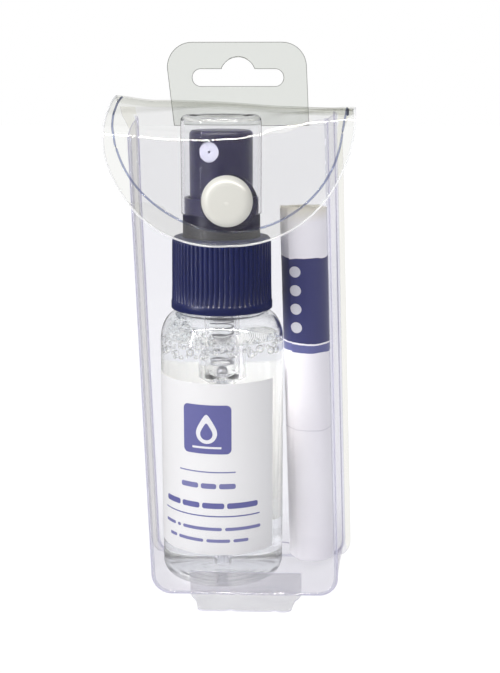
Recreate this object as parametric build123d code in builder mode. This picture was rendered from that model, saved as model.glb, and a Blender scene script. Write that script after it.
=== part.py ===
"""Lens cleaning kit: a pump spray bottle and a rolled cloth in a clear snap pouch.

Millimetres.  X runs to the right, the front faces -Y, +Z is up.  The origin is on
the surface that the pouch stands on, under the middle of the pouch's front panel
in X and under the bottle's axis in Y.
"""
from build123d import *
from math import cos, radians, sin
import os

# --- driving dimensions -------------------------------------------------------
# Pouch, made of clear vinyl film.
FILM = 0.35                 # thickness of the film
LEAN = -0.035               # sideways lean of the pouch for each millimetre of height
FRONT_Y = -16.5             # outer face of the front panel
FRONT_HALF = 22.4           # half width of the front panel
FRONT_CORNER = 4.5          # radius of its bottom corners
POCKET_TOP = 110.2          # height of the pocket's open edge
BASE_TRIM = 0.05            # cut off the rounded gusset, to leave a flat base
BACK_X = 0.6                # middle of the back panel, to the right of the front panel's
WELD_HALF = 24.0            # half width of the pocket where the gusset meets the back
GUSSET_DEEP = 20.0          # depth at which the gusset is drawn, before the back cuts it off
GUSSET_HALF = 24.8          # its half width there
FLANGE_HALF = 26.0          # half width of the back panel, with its weld flanges
BACK_CORNER = 5.0           # radius of the back panel's bottom corners
# Height, depth of the side welds, depth of the middle: the back panel is round
# the bottle below and flat at the top.
BACK_SHAPE = ((-1, 7.5, 18.5), (94, 8.0, 17.5), (108, 9.6, 10.4), (110, 9.8, 10.0), (120, 9.8, 10.0))
BAND_LOW = 109.5            # flat band along the top of the back panel
BAND_TOP = 116.2
BAND_Y = 9.9
BAND_HALF = 28.2

# Base tongue, the tail of film at the front of the base.
TONGUE_TOP = 5.8
TONGUE_REACH = -24.4
TONGUE_HALF_TOP = 13.2
TONGUE_HALF_TIP = 11.2

# Flap, from the fold at the back, over the bottle and down the front.
FLAP_HALF = 28.3
FLAP_X = -3.2               # middle of the flap
FLAP_PATH = ((9.1, 116.75), (-9.8, 116.1), (-14.8, 113.6), (-18.2, 110.3))  # Y, Z of its underside
LOBE_RADIUS = 27.8
LOBE_CENTRE_Z = 113.1
LOBE_TOP = 109.5
LOBE_Y = -18.3              # inner face of the lobe
BEAD_INSET = 3.2            # weld bead, inside the lobe's edge
BEAD_SIDE_INSET = 2.0       # the same, along the flap's straight sides
BEAD_WIDTH = 0.8
BEAD_HEIGHT = 0.3

# Hang tab, welded to the outside of the back panel.
TAB_Y = BAND_Y + FILM
TAB_THICK = 0.5
TAB_X = 1.5                 # middle of the tab, to the right of the front panel's
TAB_HALF = 17.0
TAB_LOW = 111.0
TAB_BEND = 117.3            # height of the line where the tab bends
BEND_GAP = 0.35             # gap on each side of that line
TAB_TOP = 131.0
TAB_CORNER = 6.0
SLOT_HALF = 11.1
SLOT_LOW = 120.9
SLOT_HIGH = 124.4
SLOT_HUMP = 4.3             # radius of the round hump over the slot

# Snap fastener.
SNAP_Z = 94.9
SNAP_X = -3.4
SNAP_CAP_RADIUS = 5.8
SNAP_CAP_OFF = (-0.5, 0.5)  # the cap's head sits off the shank's axis
SOCKET_RADIUS = 6.4
SNAP_SHANK = 1.0

# Bottle, 30 ml, with a 20/410 neck.
BOTTLE_X = -6.3
BOTTLE_RADIUS = 15.0
BOTTLE_BASE = 0.4
BOTTLE_FOOT = 2.8           # radius of the base edge
BOTTLE_WALL = 0.7
SHOULDER_LOW = 60.0
SHOULDER_HIGH = 67.3
SHOULDER_INNER = 10.1
NECK_RADIUS = 9.2
NECK_TOP = 81.6
THREAD_RADIUS = 9.85
THREAD_PITCH = 3.2
LIQUID_TOP = 61.0
LABEL_LOW = 9.5
LABEL_HIGH = 52.2
LABEL_THICK = 0.1
LABEL_START = -262.0        # degrees from the front, seen from above, towards +X
LABEL_END = 57.0

# Pump and closure.
COLLAR_LOW = 67.8
COLLAR_TOP = 85.3
COLLAR_RADIUS = 12.3
COLLAR_BORE = 10.25
COLLAR_PLATE = 83.85        # underside of the collar's top plate
COLLAR_BAND = 2.0           # height of the smooth band under the ribs
RIB_COUNT = 60
RIB_RADIUS = 0.36
TURRET_LOW_RADIUS = 9.3
TURRET_TOP_RADIUS = 8.9
TURRET_STEP = 90.8
TURRET_TOP = 94.6
TURRET_FLOOR = 86.0
TURRET_BORE = 7.9
FLANGE_LOW = 82.9           # turret flange, held under the collar's top plate
FLANGE_TOP = 83.7
HOUSING_RADIUS = 4.25
HOUSING_BORE = 3.4
HOUSING_LOW = 50.6
NIPPLE_LOW = 46.0
NIPPLE_RADIUS = 2.3
TUBE_RADIUS = 1.5
TUBE_BORE = 1.0
TUBE_LOW = 3.2
TUBE_TOP = 49.6
BALL_RADIUS = 1.4
BALL_Z = 52.3
SPRING_LOW = 54.0
SPRING_TOP = 66.3
SPRING_RADIUS = 2.75
SPRING_WIRE = 0.5
PISTON_LOW = 66.4
PISTON_TOP = 70.4
STEM_RADIUS = 1.6
STEM_BORE = 0.7
STEM_TOP = 101.0
SLIDE_GAP = 0.08            # radial clearance of the sliding fits
ACTUATOR_RADIUS = 7.55
ACTUATOR_LOW = 91.5
ACTUATOR_TOP = 110.4
ACTUATOR_CROWN = 108.6      # underside of its top wall
ACTUATOR_WALL = 1.2
POST_RADIUS = 3.0
POST_LOW = 93.0
NOZZLE_Z = 105.6
NOZZLE_RADIUS = 2.4
NOZZLE_TURN = -19.5         # degrees from the front, towards +X
OVERCAP_RADIUS = 9.6
OVERCAP_WALL = 0.65
OVERCAP_TOP = 114.0

# Rolled microfibre cloth.
CLOTH_X = 16.2
CLOTH_Y = 6.0
CLOTH_RADIUS = 5.8
CLOTH_LOW = 1.8
CLOTH_TOP = 92.5

BOTTLE_PLANE = Plane(origin=(BOTTLE_X, 0, 0), x_dir=(1, 0, 0), z_dir=(0, -1, 0))
BOTTLE_AXIS = Axis((BOTTLE_X, 0, 0), (0, 0, 1))


def front_plane(depth):
    """Plane that faces the front, with its X to the right and its Y up."""
    return Plane(origin=(0, depth, 0), x_dir=(1, 0, 0), z_dir=(0, -1, 0))


def leaning(half, low, high, middle=0):
    """Corners of an upright shape that leans with the pouch."""
    return (
        (middle + LEAN * low - half, low),
        (middle + LEAN * low + half, low),
        (middle + LEAN * high + half, high),
        (middle + LEAN * high - half, high),
    )


def section(inner, outer, low, high):
    """Corners of the half section of a square-edged ring, or of a disc where inner is 0."""
    return ((inner, low), (outer, low), (outer, high), (inner, high))


def heading(turn):
    """Level direction, turned from the front towards +X by an angle in degrees."""
    return (sin(radians(turn)), -cos(radians(turn)), 0)


def behind(shift):
    """All the space behind the back panel's inner face, moved back by shift."""
    far = 40
    with BuildPart() as space:
        for height, weld_y, middle_y in BACK_SHAPE:
            middle_x = BACK_X + LEAN * height
            left = (middle_x - WELD_HALF, weld_y + shift)
            right = (middle_x + WELD_HALF, weld_y + shift)
            with BuildSketch(Plane.XY.offset(height)):
                with BuildLine():
                    ThreePointArc(left, (middle_x, middle_y + shift), right)
                    Polyline(
                        right,
                        (middle_x + far, weld_y + shift),
                        (middle_x + far, far),
                        (middle_x - far, far),
                        (middle_x - far, weld_y + shift),
                        left,
                    )
                make_face()
        loft(ruled=True)
    return space.part


def bottle_form(shrink, neck_radius, top):
    """Solid with the bottle's outline, smaller by the thickness shrink, up to top."""
    wall = BOTTLE_RADIUS - shrink
    base = BOTTLE_BASE + shrink
    foot = BOTTLE_FOOT - shrink
    shoulder = SHOULDER_HIGH - shrink
    with BuildPart() as form:
        with BuildSketch(BOTTLE_PLANE):
            with BuildLine():
                Line((0, top), (0, base))
                Line((0, base), (wall - foot, base))
                CenterArc((wall - foot, base + foot), foot, 270, 90)
                Line((wall, base + foot), (wall, SHOULDER_LOW))
                EllipticalCenterArc(
                    (SHOULDER_INNER, SHOULDER_LOW),
                    wall - SHOULDER_INNER,
                    shoulder - SHOULDER_LOW,
                    arc_size=90,
                )
                Polyline((SHOULDER_INNER, shoulder), (neck_radius, shoulder), (neck_radius, top), (0, top))
            make_face()
        revolve(axis=BOTTLE_AXIS)
    return form.part


def flap_strip(x_middle, half, low, high):
    """Strip that follows the flap over the top, between two heights above its underside."""
    path = [Vector(*point) for point in FLAP_PATH]
    steps = [(end - start).normalized() for start, end in zip(path, path[1:])]
    joins = [steps[0]] + [(a + b).normalized() for a, b in zip(steps, steps[1:])] + [steps[-1]]
    normals = [Vector(step.Y, -step.X) for step in joins]
    under = [(p + n * low) for p, n in zip(path, normals)]
    over = [(p + n * high) for p, n in zip(path, normals)]
    corners = [(point.X, point.Y) for point in under + over[::-1]]
    with BuildPart() as strip:
        with BuildSketch(Plane(origin=(x_middle - half, 0, 0), x_dir=(0, 1, 0), z_dir=(1, 0, 0))):
            Polygon(*corners, align=None)
        extrude(amount=2 * half)
    return strip.part


# --- pouch ----------------------------------------------------------------------
with BuildPart() as front_panel:
    with BuildSketch(front_plane(FRONT_Y)) as outline:
        Polygon(*leaning(FRONT_HALF, 0, POCKET_TOP), align=None)
        fillet(outline.vertices().group_by(Axis.Y)[0], radius=FRONT_CORNER)
        with Locations((SNAP_X, SNAP_Z)):
            Circle(SNAP_SHANK, mode=Mode.SUBTRACT)
    extrude(amount=-FILM)

# One strip makes both sides and the bottom, wider where it meets the back panel.
with BuildPart() as side_gusset:
    for inset, low, mode in ((0, -BASE_TRIM, Mode.ADD), (FILM, FILM, Mode.SUBTRACT)):
        with BuildSketch(front_plane(FRONT_Y + FILM)) as front_rim:
            Polygon(*leaning(FRONT_HALF - inset, low, POCKET_TOP + inset), align=None)
            fillet(front_rim.vertices().group_by(Axis.Y)[0], radius=FRONT_CORNER - inset)
        with BuildSketch(front_plane(GUSSET_DEEP)) as back_rim:
            Polygon(*leaning(GUSSET_HALF - inset, low, POCKET_TOP + inset, BACK_X), align=None)
            fillet(back_rim.vertices().group_by(Axis.Y)[0], radius=FRONT_CORNER - inset)
        loft(mode=mode)
    add(behind(0), mode=Mode.SUBTRACT)
    split(bisect_by=Plane.XY, keep=Keep.TOP)

with BuildPart() as back_panel:
    with BuildSketch(front_plane(0)) as outline:
        Polygon(*leaning(FLANGE_HALF, 0, BACK_SHAPE[3][0], BACK_X), align=None)
        fillet(outline.vertices().group_by(Axis.Y)[0], radius=BACK_CORNER)
    extrude(amount=-25)
    add(behind(0), mode=Mode.INTERSECT)
    add(behind(FILM), mode=Mode.SUBTRACT)
    with BuildSketch(front_plane(BAND_Y)):
        Polygon(*leaning(FLANGE_HALF, BAND_LOW, BAND_TOP, BACK_X), align=None)
        Polygon(*leaning(BAND_HALF, BAND_TOP - 1.8, BAND_TOP, BACK_X), align=None)
    extrude(amount=-FILM)

with BuildPart() as base_tongue:
    with BuildSketch(front_plane(FRONT_Y - FILM)):
        with Locations((0, TONGUE_TOP / 2)):
            Rectangle(2 * TONGUE_HALF_TOP, TONGUE_TOP)
    extrude(amount=-FILM)
    with BuildSketch() as foot:
        Polygon(
            (-TONGUE_HALF_TOP, FRONT_Y),
            (-TONGUE_HALF_TIP, TONGUE_REACH),
            (TONGUE_HALF_TIP, TONGUE_REACH),
            (TONGUE_HALF_TOP, FRONT_Y),
            align=None,
        )
        fillet(foot.vertices().group_by(Axis.Y)[0], radius=2)
    extrude(amount=FILM)

# --- hang tab, in two pieces either side of its bend --------------------------------
with BuildPart() as hang_tab_foot:
    with BuildSketch(front_plane(TAB_Y)):
        Polygon(*leaning(TAB_HALF, TAB_LOW, TAB_BEND - BEND_GAP, TAB_X), align=None)
    extrude(amount=-TAB_THICK)

with BuildPart() as hang_tab:
    with BuildSketch(front_plane(TAB_Y)) as outline:
        Polygon(*leaning(TAB_HALF, TAB_BEND + BEND_GAP, TAB_TOP, TAB_X), align=None)
        fillet(outline.vertices().group_by(Axis.Y)[-1], radius=TAB_CORNER)
        slot_middle = (SLOT_LOW + SLOT_HIGH) / 2
        with Locations((TAB_X + LEAN * slot_middle, slot_middle)):
            RectangleRounded(2 * SLOT_HALF, SLOT_HIGH - SLOT_LOW, radius=1.5, mode=Mode.SUBTRACT)
        with Locations((TAB_X + LEAN * SLOT_HIGH, SLOT_HIGH - 1.5)):
            Circle(SLOT_HUMP, mode=Mode.SUBTRACT)
        with Locations((TAB_X + LEAN * SLOT_LOW, SLOT_LOW)):
            Rectangle(2 * SLOT_HUMP, SLOT_LOW - TAB_BEND - BEND_GAP, align=(Align.CENTER, Align.MAX))
    extrude(amount=-TAB_THICK)

# --- flap, in two pieces either side of the front bend --------------------------------
with BuildPart() as flap_top:
    add(flap_strip(FLAP_X, FLAP_HALF, 0, FILM))

with BuildPart() as flap_top_weld:
    for side in (-1, 1):
        bead_x = FLAP_X + side * (FLAP_HALF - BEAD_SIDE_INSET)
        add(flap_strip(bead_x, BEAD_WIDTH / 2, FILM, FILM + BEAD_HEIGHT))

with BuildPart() as flap_lobe:
    with BuildSketch(front_plane(LOBE_Y)):
        with Locations((FLAP_X, LOBE_CENTRE_Z)):
            Circle(LOBE_RADIUS)
        with Locations((FLAP_X, LOBE_TOP)):
            Rectangle(100, 100, align=(Align.CENTER, Align.MIN), mode=Mode.SUBTRACT)
        with Locations((SNAP_X, SNAP_Z)):
            Circle(SNAP_SHANK, mode=Mode.SUBTRACT)
    extrude(amount=FILM)

with BuildPart() as flap_lobe_weld:
    with BuildSketch(front_plane(LOBE_Y - FILM)):
        with Locations((FLAP_X, LOBE_CENTRE_Z)):
            Circle(LOBE_RADIUS - BEAD_INSET + BEAD_WIDTH / 2)
            Circle(LOBE_RADIUS - BEAD_INSET - BEAD_WIDTH / 2, mode=Mode.SUBTRACT)
        with Locations((FLAP_X, LOBE_TOP)):
            Rectangle(100, 100, align=(Align.CENTER, Align.MIN), mode=Mode.SUBTRACT)
    extrude(amount=BEAD_HEIGHT)

# --- snap fastener ------------------------------------------------------------------
SNAP_PLANE = Plane(origin=(SNAP_X, 0, SNAP_Z))
SNAP_AXIS = Axis((SNAP_X, 0, SNAP_Z), (0, 1, 0))
CAP_CENTRE = (SNAP_X + SNAP_CAP_OFF[0], 0, SNAP_Z + SNAP_CAP_OFF[1])
STUD_BASE = FRONT_Y - 0.3
STUD_TIP = FRONT_Y - 1.35
SOCKET_BACK = LOBE_Y + 1.2

with BuildPart() as snap_stud:
    with BuildSketch(SNAP_PLANE):
        Polygon((0, FRONT_Y), (4.2, FRONT_Y), (4.2, STUD_BASE), (1.5, STUD_BASE),
                (1.7, STUD_TIP + 0.4), (1.3, STUD_TIP), (0, STUD_TIP), align=None)
    revolve(axis=SNAP_AXIS)
    with BuildSketch(front_plane(FRONT_Y)):
        with Locations((SNAP_X, SNAP_Z)):
            Circle(SNAP_SHANK)
    extrude(amount=0.8, mode=Mode.SUBTRACT)

with BuildPart() as snap_stud_rivet:
    with BuildSketch(SNAP_PLANE):
        Polygon((0, FRONT_Y + FILM + 0.7), (4.6, FRONT_Y + FILM + 0.5), (4.8, FRONT_Y + FILM),
                (SNAP_SHANK, FRONT_Y + FILM), (SNAP_SHANK, FRONT_Y - 0.8), (0, FRONT_Y - 0.8), align=None)
    revolve(axis=SNAP_AXIS)

with BuildPart() as snap_socket:
    with BuildSketch(SNAP_PLANE):
        Polygon((SNAP_SHANK, LOBE_Y), (SOCKET_RADIUS, LOBE_Y), (SOCKET_RADIUS, LOBE_Y + 0.6),
                (4.9, SOCKET_BACK), (3.2, SOCKET_BACK),
                (3.2, LOBE_Y + 0.3), (SNAP_SHANK, LOBE_Y + 0.3), align=None)
    revolve(axis=SNAP_AXIS)

with BuildPart() as snap_cap:
    with BuildSketch(Plane(origin=CAP_CENTRE)):
        with BuildLine():
            Line((0, LOBE_Y - FILM - 2.3), (3.6, LOBE_Y - FILM - 2.15))
            ThreePointArc(
                (3.6, LOBE_Y - FILM - 2.15),
                (SNAP_CAP_RADIUS - 0.55, LOBE_Y - FILM - 1.35),
                (SNAP_CAP_RADIUS, LOBE_Y - FILM - 0.3),
            )
            Polyline(
                (SNAP_CAP_RADIUS, LOBE_Y - FILM - 0.3),
                (SNAP_CAP_RADIUS, LOBE_Y - FILM),
                (0, LOBE_Y - FILM),
                (0, LOBE_Y - FILM - 2.3),
            )
        make_face()
    revolve(axis=Axis(CAP_CENTRE, (0, 1, 0)))
    with BuildSketch(front_plane(LOBE_Y + 0.3)):
        with Locations((SNAP_X, SNAP_Z)):
            Circle(SNAP_SHANK)
    extrude(amount=FILM + 0.6)

# --- bottle, label and liquid ------------------------------------------------------------
with BuildPart() as bottle:
    add(bottle_form(0, NECK_RADIUS, NECK_TOP))
    add(bottle_form(BOTTLE_WALL, NECK_RADIUS - 1.8, NECK_TOP + 1), mode=Mode.SUBTRACT)
    with BuildSketch(BOTTLE_PLANE):
        for turn in range(3):
            low = SHOULDER_HIGH + 4 + turn * THREAD_PITCH
            Polygon(
                (NECK_RADIUS - 0.4, low),
                (NECK_RADIUS, low),
                (THREAD_RADIUS, low + 0.5),
                (THREAD_RADIUS, low + 0.9),
                (NECK_RADIUS, low + 1.4),
                (NECK_RADIUS - 0.4, low + 1.4),
                align=None,
            )
    revolve(axis=BOTTLE_AXIS)

with BuildPart() as liquid:
    add(bottle_form(BOTTLE_WALL, NECK_RADIUS - 1.8, NECK_TOP))
    with BuildSketch(BOTTLE_PLANE):
        Polygon(*section(0, BOTTLE_RADIUS + 1, LIQUID_TOP, NECK_TOP + 1), align=None)
        Polygon(*section(0, HOUSING_RADIUS + 0.35, HOUSING_LOW - 1.2, LIQUID_TOP), align=None)
        Polygon(*section(0, NIPPLE_RADIUS + 0.35, NIPPLE_LOW - 0.5, HOUSING_LOW), align=None)
        Polygon(*section(0, TUBE_RADIUS + 0.35, TUBE_LOW - 0.5, NIPPLE_LOW), align=None)
    revolve(axis=BOTTLE_AXIS, mode=Mode.SUBTRACT)

with BuildPart() as bottle_label:
    with BuildSketch(BOTTLE_PLANE):
        Polygon(*section(BOTTLE_RADIUS, BOTTLE_RADIUS + LABEL_THICK, LABEL_LOW, LABEL_HIGH), align=None)
    revolve(axis=BOTTLE_AXIS, revolution_arc=LABEL_END - LABEL_START)
bottle_label.part = bottle_label.part.rotate(BOTTLE_AXIS, LABEL_START - 90)

# --- closure and pump --------------------------------------------------------------------
with BuildPart() as collar:
    with BuildSketch(Plane(origin=(BOTTLE_X, 0, COLLAR_LOW + COLLAR_BAND))):
        Circle(COLLAR_RADIUS - RIB_RADIUS)
        with PolarLocations(COLLAR_RADIUS - RIB_RADIUS, RIB_COUNT):
            Circle(RIB_RADIUS)
    extrude(amount=COLLAR_TOP - 0.5 - COLLAR_LOW - COLLAR_BAND)
    with BuildSketch(BOTTLE_PLANE):
        Polygon(*section(0, COLLAR_RADIUS, COLLAR_LOW, COLLAR_LOW + COLLAR_BAND), align=None)
        Polygon(
            (0, COLLAR_TOP - 1.5),
            (COLLAR_RADIUS - 0.5, COLLAR_TOP - 1.5),
            (COLLAR_RADIUS - 0.5, COLLAR_TOP - 0.5),
            (COLLAR_RADIUS - 1.0, COLLAR_TOP),
            (0, COLLAR_TOP),
            align=None,
        )
    revolve(axis=BOTTLE_AXIS)
    with BuildSketch(BOTTLE_PLANE):
        Polygon(*section(0, COLLAR_BORE, COLLAR_LOW - 1, COLLAR_PLATE), align=None)
        Polygon(*section(0, TURRET_LOW_RADIUS + 0.15, COLLAR_PLATE - 1, COLLAR_TOP + 1), align=None)
    revolve(axis=BOTTLE_AXIS, mode=Mode.SUBTRACT)

with BuildPart() as neck_gasket:
    with BuildSketch(BOTTLE_PLANE):
        Polygon(*section(HOUSING_RADIUS, NECK_RADIUS - 0.2, NECK_TOP + 0.1, NECK_TOP + 0.7), align=None)
    revolve(axis=BOTTLE_AXIS)

with BuildPart() as turret:
    with BuildSketch(BOTTLE_PLANE) as body:
        Polygon(*section(0, 10.0, FLANGE_LOW, FLANGE_TOP), align=None)
        Polygon(*section(0, TURRET_LOW_RADIUS, FLANGE_LOW, TURRET_STEP), align=None)
        Polygon(*section(0, TURRET_TOP_RADIUS, TURRET_STEP, TURRET_TOP), align=None)
    revolve(axis=BOTTLE_AXIS)
    with BuildSketch(BOTTLE_PLANE):
        Polygon(*section(0, TURRET_BORE, TURRET_FLOOR, TURRET_TOP + 1), align=None)
        Polygon(*section(0, STEM_RADIUS + 0.3, FLANGE_LOW - 1, TURRET_FLOOR), align=None)
    revolve(axis=BOTTLE_AXIS, mode=Mode.SUBTRACT)

with BuildPart() as pump_housing:
    with BuildSketch(BOTTLE_PLANE):
        Polygon(
            (TUBE_RADIUS, NIPPLE_LOW),
            (NIPPLE_RADIUS, NIPPLE_LOW),
            (NIPPLE_RADIUS, HOUSING_LOW - 0.8),
            (HOUSING_RADIUS, HOUSING_LOW + 0.6),
            (HOUSING_RADIUS, NECK_TOP + 0.7),
            (NECK_RADIUS - 0.6, NECK_TOP + 0.7),
            (NECK_RADIUS - 0.6, FLANGE_LOW),
            (HOUSING_BORE, FLANGE_LOW),
            (HOUSING_BORE, BALL_Z + 0.2),
            (TUBE_BORE, BALL_Z - 1.1),
            (TUBE_BORE, TUBE_TOP),
            (TUBE_RADIUS, TUBE_TOP),
            align=None,
        )
    revolve(axis=BOTTLE_AXIS)

with BuildPart() as dip_tube:
    with BuildSketch(BOTTLE_PLANE):
        Polygon(*section(TUBE_BORE, TUBE_RADIUS, TUBE_LOW, TUBE_TOP), align=None)
    revolve(axis=BOTTLE_AXIS)

with BuildPart() as inlet_ball:
    with Locations((BOTTLE_X, 0, BALL_Z)):
        Sphere(BALL_RADIUS)

with BuildPart() as return_spring:
    with BuildLine(Plane(origin=(BOTTLE_X, 0, SPRING_LOW + SPRING_WIRE / 2))) as coil:
        Helix(pitch=(SPRING_TOP - SPRING_LOW - SPRING_WIRE) / 7,
              height=SPRING_TOP - SPRING_LOW - SPRING_WIRE, radius=SPRING_RADIUS)
    with BuildSketch(Plane(origin=coil.line @ 0, z_dir=coil.line % 0)):
        Circle(SPRING_WIRE / 2)
    sweep()

with BuildPart() as piston:
    with BuildSketch(BOTTLE_PLANE):
        Polygon(*section(STEM_BORE, HOUSING_BORE - SLIDE_GAP, PISTON_LOW, PISTON_TOP), align=None)
    revolve(axis=BOTTLE_AXIS)

with BuildPart() as piston_stem:
    with BuildSketch(BOTTLE_PLANE):
        Polygon(*section(STEM_BORE, STEM_RADIUS, PISTON_TOP, STEM_TOP), align=None)
    revolve(axis=BOTTLE_AXIS)

with BuildPart() as stem_seal:
    with BuildSketch(BOTTLE_PLANE):
        Polygon(*section(STEM_RADIUS + SLIDE_GAP, HOUSING_BORE, NECK_TOP - 2.6, NECK_TOP - 0.6), align=None)
    revolve(axis=BOTTLE_AXIS)

with BuildPart() as actuator:
    with BuildSketch(BOTTLE_PLANE) as shell:
        Polygon(*section(0, ACTUATOR_RADIUS, ACTUATOR_LOW, ACTUATOR_TOP), align=None)
        fillet(shell.vertices().sort_by(Axis.X)[-2:].sort_by(Axis.Y)[-1], radius=1)
        Polygon(*section(POST_RADIUS, ACTUATOR_RADIUS - ACTUATOR_WALL, ACTUATOR_LOW, ACTUATOR_CROWN),
                align=None, mode=Mode.SUBTRACT)
        Polygon(*section(0, POST_RADIUS, ACTUATOR_LOW, POST_LOW), align=None, mode=Mode.SUBTRACT)
        Polygon(*section(0, STEM_RADIUS + SLIDE_GAP, POST_LOW, STEM_TOP + 0.2),
                align=None, mode=Mode.SUBTRACT)
        Polygon(*section(0, STEM_BORE, STEM_TOP, NOZZLE_Z), align=None, mode=Mode.SUBTRACT)
    revolve(axis=BOTTLE_AXIS)
    # Boss that carries the nozzle insert, its channel and its seat.
    nozzle_plane = Plane(origin=(BOTTLE_X, 0, NOZZLE_Z), x_dir=(0, 0, 1), z_dir=heading(NOZZLE_TURN))
    with BuildSketch(nozzle_plane.offset(POST_RADIUS - 0.5)):
        Circle(NOZZLE_RADIUS + 0.5)
    extrude(amount=4)
    with BuildSketch(nozzle_plane):
        Circle(STEM_BORE)
    extrude(amount=ACTUATOR_RADIUS, mode=Mode.SUBTRACT)
    with BuildSketch(nozzle_plane.offset(5.4)):
        Circle(NOZZLE_RADIUS)
    extrude(amount=4, mode=Mode.SUBTRACT)

with BuildPart() as nozzle_insert:
    with BuildSketch(nozzle_plane.offset(5.4)):
        Circle(NOZZLE_RADIUS)
        Circle(0.3, mode=Mode.SUBTRACT)
    extrude(amount=1.75)

with BuildPart() as overcap:
    with BuildSketch(BOTTLE_PLANE) as cap:
        Polygon(*section(0, OVERCAP_RADIUS, TURRET_STEP, OVERCAP_TOP), align=None)
        fillet(cap.vertices().sort_by(Axis.X)[-2:].sort_by(Axis.Y)[-1], radius=1.5)
        inside = section(0, OVERCAP_RADIUS - OVERCAP_WALL, TURRET_STEP, OVERCAP_TOP - OVERCAP_WALL)
        Polygon(*inside, align=None, mode=Mode.SUBTRACT)
    revolve(axis=BOTTLE_AXIS)

# --- cloth -----------------------------------------------------------------------------------
with BuildPart() as cloth_roll:
    with BuildSketch(Plane(origin=(CLOTH_X + LEAN * CLOTH_LOW, CLOTH_Y, CLOTH_LOW))):
        Circle(CLOTH_RADIUS)
    extrude(amount=CLOTH_TOP - CLOTH_LOW, dir=(LEAN, 0, 1))

# --- written pieces --------------------------------------------------------------------------
PIECES = {
    "front_panel": front_panel,
    "side_gusset": side_gusset,
    "back_panel": back_panel,
    "base_tongue": base_tongue,
    "hang_tab_foot": hang_tab_foot,
    "hang_tab": hang_tab,
    "flap_top": flap_top,
    "flap_top_weld": flap_top_weld,
    "flap_lobe": flap_lobe,
    "flap_lobe_weld": flap_lobe_weld,
    "snap_stud": snap_stud,
    "snap_stud_rivet": snap_stud_rivet,
    "snap_socket": snap_socket,
    "snap_cap": snap_cap,
    "bottle": bottle,
    "liquid": liquid,
    "bottle_label": bottle_label,
    "collar": collar,
    "neck_gasket": neck_gasket,
    "turret": turret,
    "pump_housing": pump_housing,
    "dip_tube": dip_tube,
    "inlet_ball": inlet_ball,
    "return_spring": return_spring,
    "piston": piston,
    "piston_stem": piston_stem,
    "stem_seal": stem_seal,
    "actuator": actuator,
    "nozzle_insert": nozzle_insert,
    "overcap": overcap,
    "cloth_roll": cloth_roll,
}

os.makedirs("parts", exist_ok=True)
for name, piece in PIECES.items():
    piece.part.label = name
    export_step(piece.part, f"parts/{name}.step")
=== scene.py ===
import math
import random

import bmesh
import bpy
import numpy as np
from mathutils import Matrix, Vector, noise


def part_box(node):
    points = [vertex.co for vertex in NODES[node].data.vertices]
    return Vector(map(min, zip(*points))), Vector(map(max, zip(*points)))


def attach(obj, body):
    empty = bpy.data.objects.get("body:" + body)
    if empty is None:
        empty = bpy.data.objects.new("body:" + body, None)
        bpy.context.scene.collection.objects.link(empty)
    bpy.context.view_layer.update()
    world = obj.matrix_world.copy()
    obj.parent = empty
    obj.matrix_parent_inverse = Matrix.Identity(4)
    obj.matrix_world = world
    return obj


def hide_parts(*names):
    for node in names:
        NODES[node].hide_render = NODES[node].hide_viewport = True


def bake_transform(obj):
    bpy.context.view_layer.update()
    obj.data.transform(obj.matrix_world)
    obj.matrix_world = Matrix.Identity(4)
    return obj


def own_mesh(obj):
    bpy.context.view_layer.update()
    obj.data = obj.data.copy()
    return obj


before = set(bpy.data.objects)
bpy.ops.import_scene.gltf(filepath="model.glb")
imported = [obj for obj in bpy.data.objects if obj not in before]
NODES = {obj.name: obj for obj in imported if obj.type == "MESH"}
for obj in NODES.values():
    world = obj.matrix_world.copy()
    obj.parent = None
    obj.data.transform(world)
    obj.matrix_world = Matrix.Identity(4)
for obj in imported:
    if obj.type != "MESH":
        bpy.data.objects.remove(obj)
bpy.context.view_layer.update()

MM = 0.001

# --- sizes in millimetres, read from the frame where it has them ---
FILM = 0.35                     # thickness of the pouch film
LEAN = -0.035                   # sideways lean of the pouch for each millimetre of height


def node_box(name):
    """Lowest and highest corner of a CAD node in millimetres."""
    low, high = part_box(name)
    return low / MM, high / MM


FRONT_Y = node_box("front_panel")[0].y + FILM / 2
FRONT_HALF = 22.4               # half width of the front panel
FRONT_CORNER = 4.5
FRONT_HEIGHT = 110              # nominal, where its width and rows are worked out
BACK_X = 0.6                    # middle of the back panel, before the lean
WELD_HALF = 24.0                # half width between the back panel's welds
FLANGE_HALF = 26.0              # the same, out to its cut edges
BACK_CORNER = 5.0
BACK_HEIGHT = 115.6
FLAP_X = -3.2                   # middle of the flap
LOBE_RADIUS = 27.8
LOBE_CENTRE_Z = 113.1
LOBE_Y = node_box("flap_lobe")[0].y + FILM / 2
BEAD_INSET = 3.2                # of the weld bead, inside the lobe's tip
BEAD_SIDE_INSET = 2.6           # the same, at the lobe's sides
BOTTLE_LOW, BOTTLE_HIGH = node_box("bottle")
BOTTLE_X = (BOTTLE_LOW.x + BOTTLE_HIGH.x) / 2
BOTTLE_RADIUS = (BOTTLE_HIGH.x - BOTTLE_LOW.x) / 2
CLOTH_LOW, CLOTH_HIGH = node_box("cloth_roll")


# --- mesh helpers ---
def lerp(a, b, t):
    return a + (b - a) * t


def smooth(low, high, value):
    """0 below low, 1 above high, smooth between."""
    t = min(1.0, max(0.0, (value - low) / (high - low)))
    return t * t * (3 - 2 * t)


def along(points, value):
    """Smooth curve through (position, height) points, read at a position."""
    xs = [p[0] for p in points]
    if value <= xs[0]:
        return points[0][1]
    for (x0, h0), (x1, h1) in zip(points, points[1:]):
        if value <= x1:
            return lerp(h0, h1, smooth(x0, x1, value))
    return points[-1][1]


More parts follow.
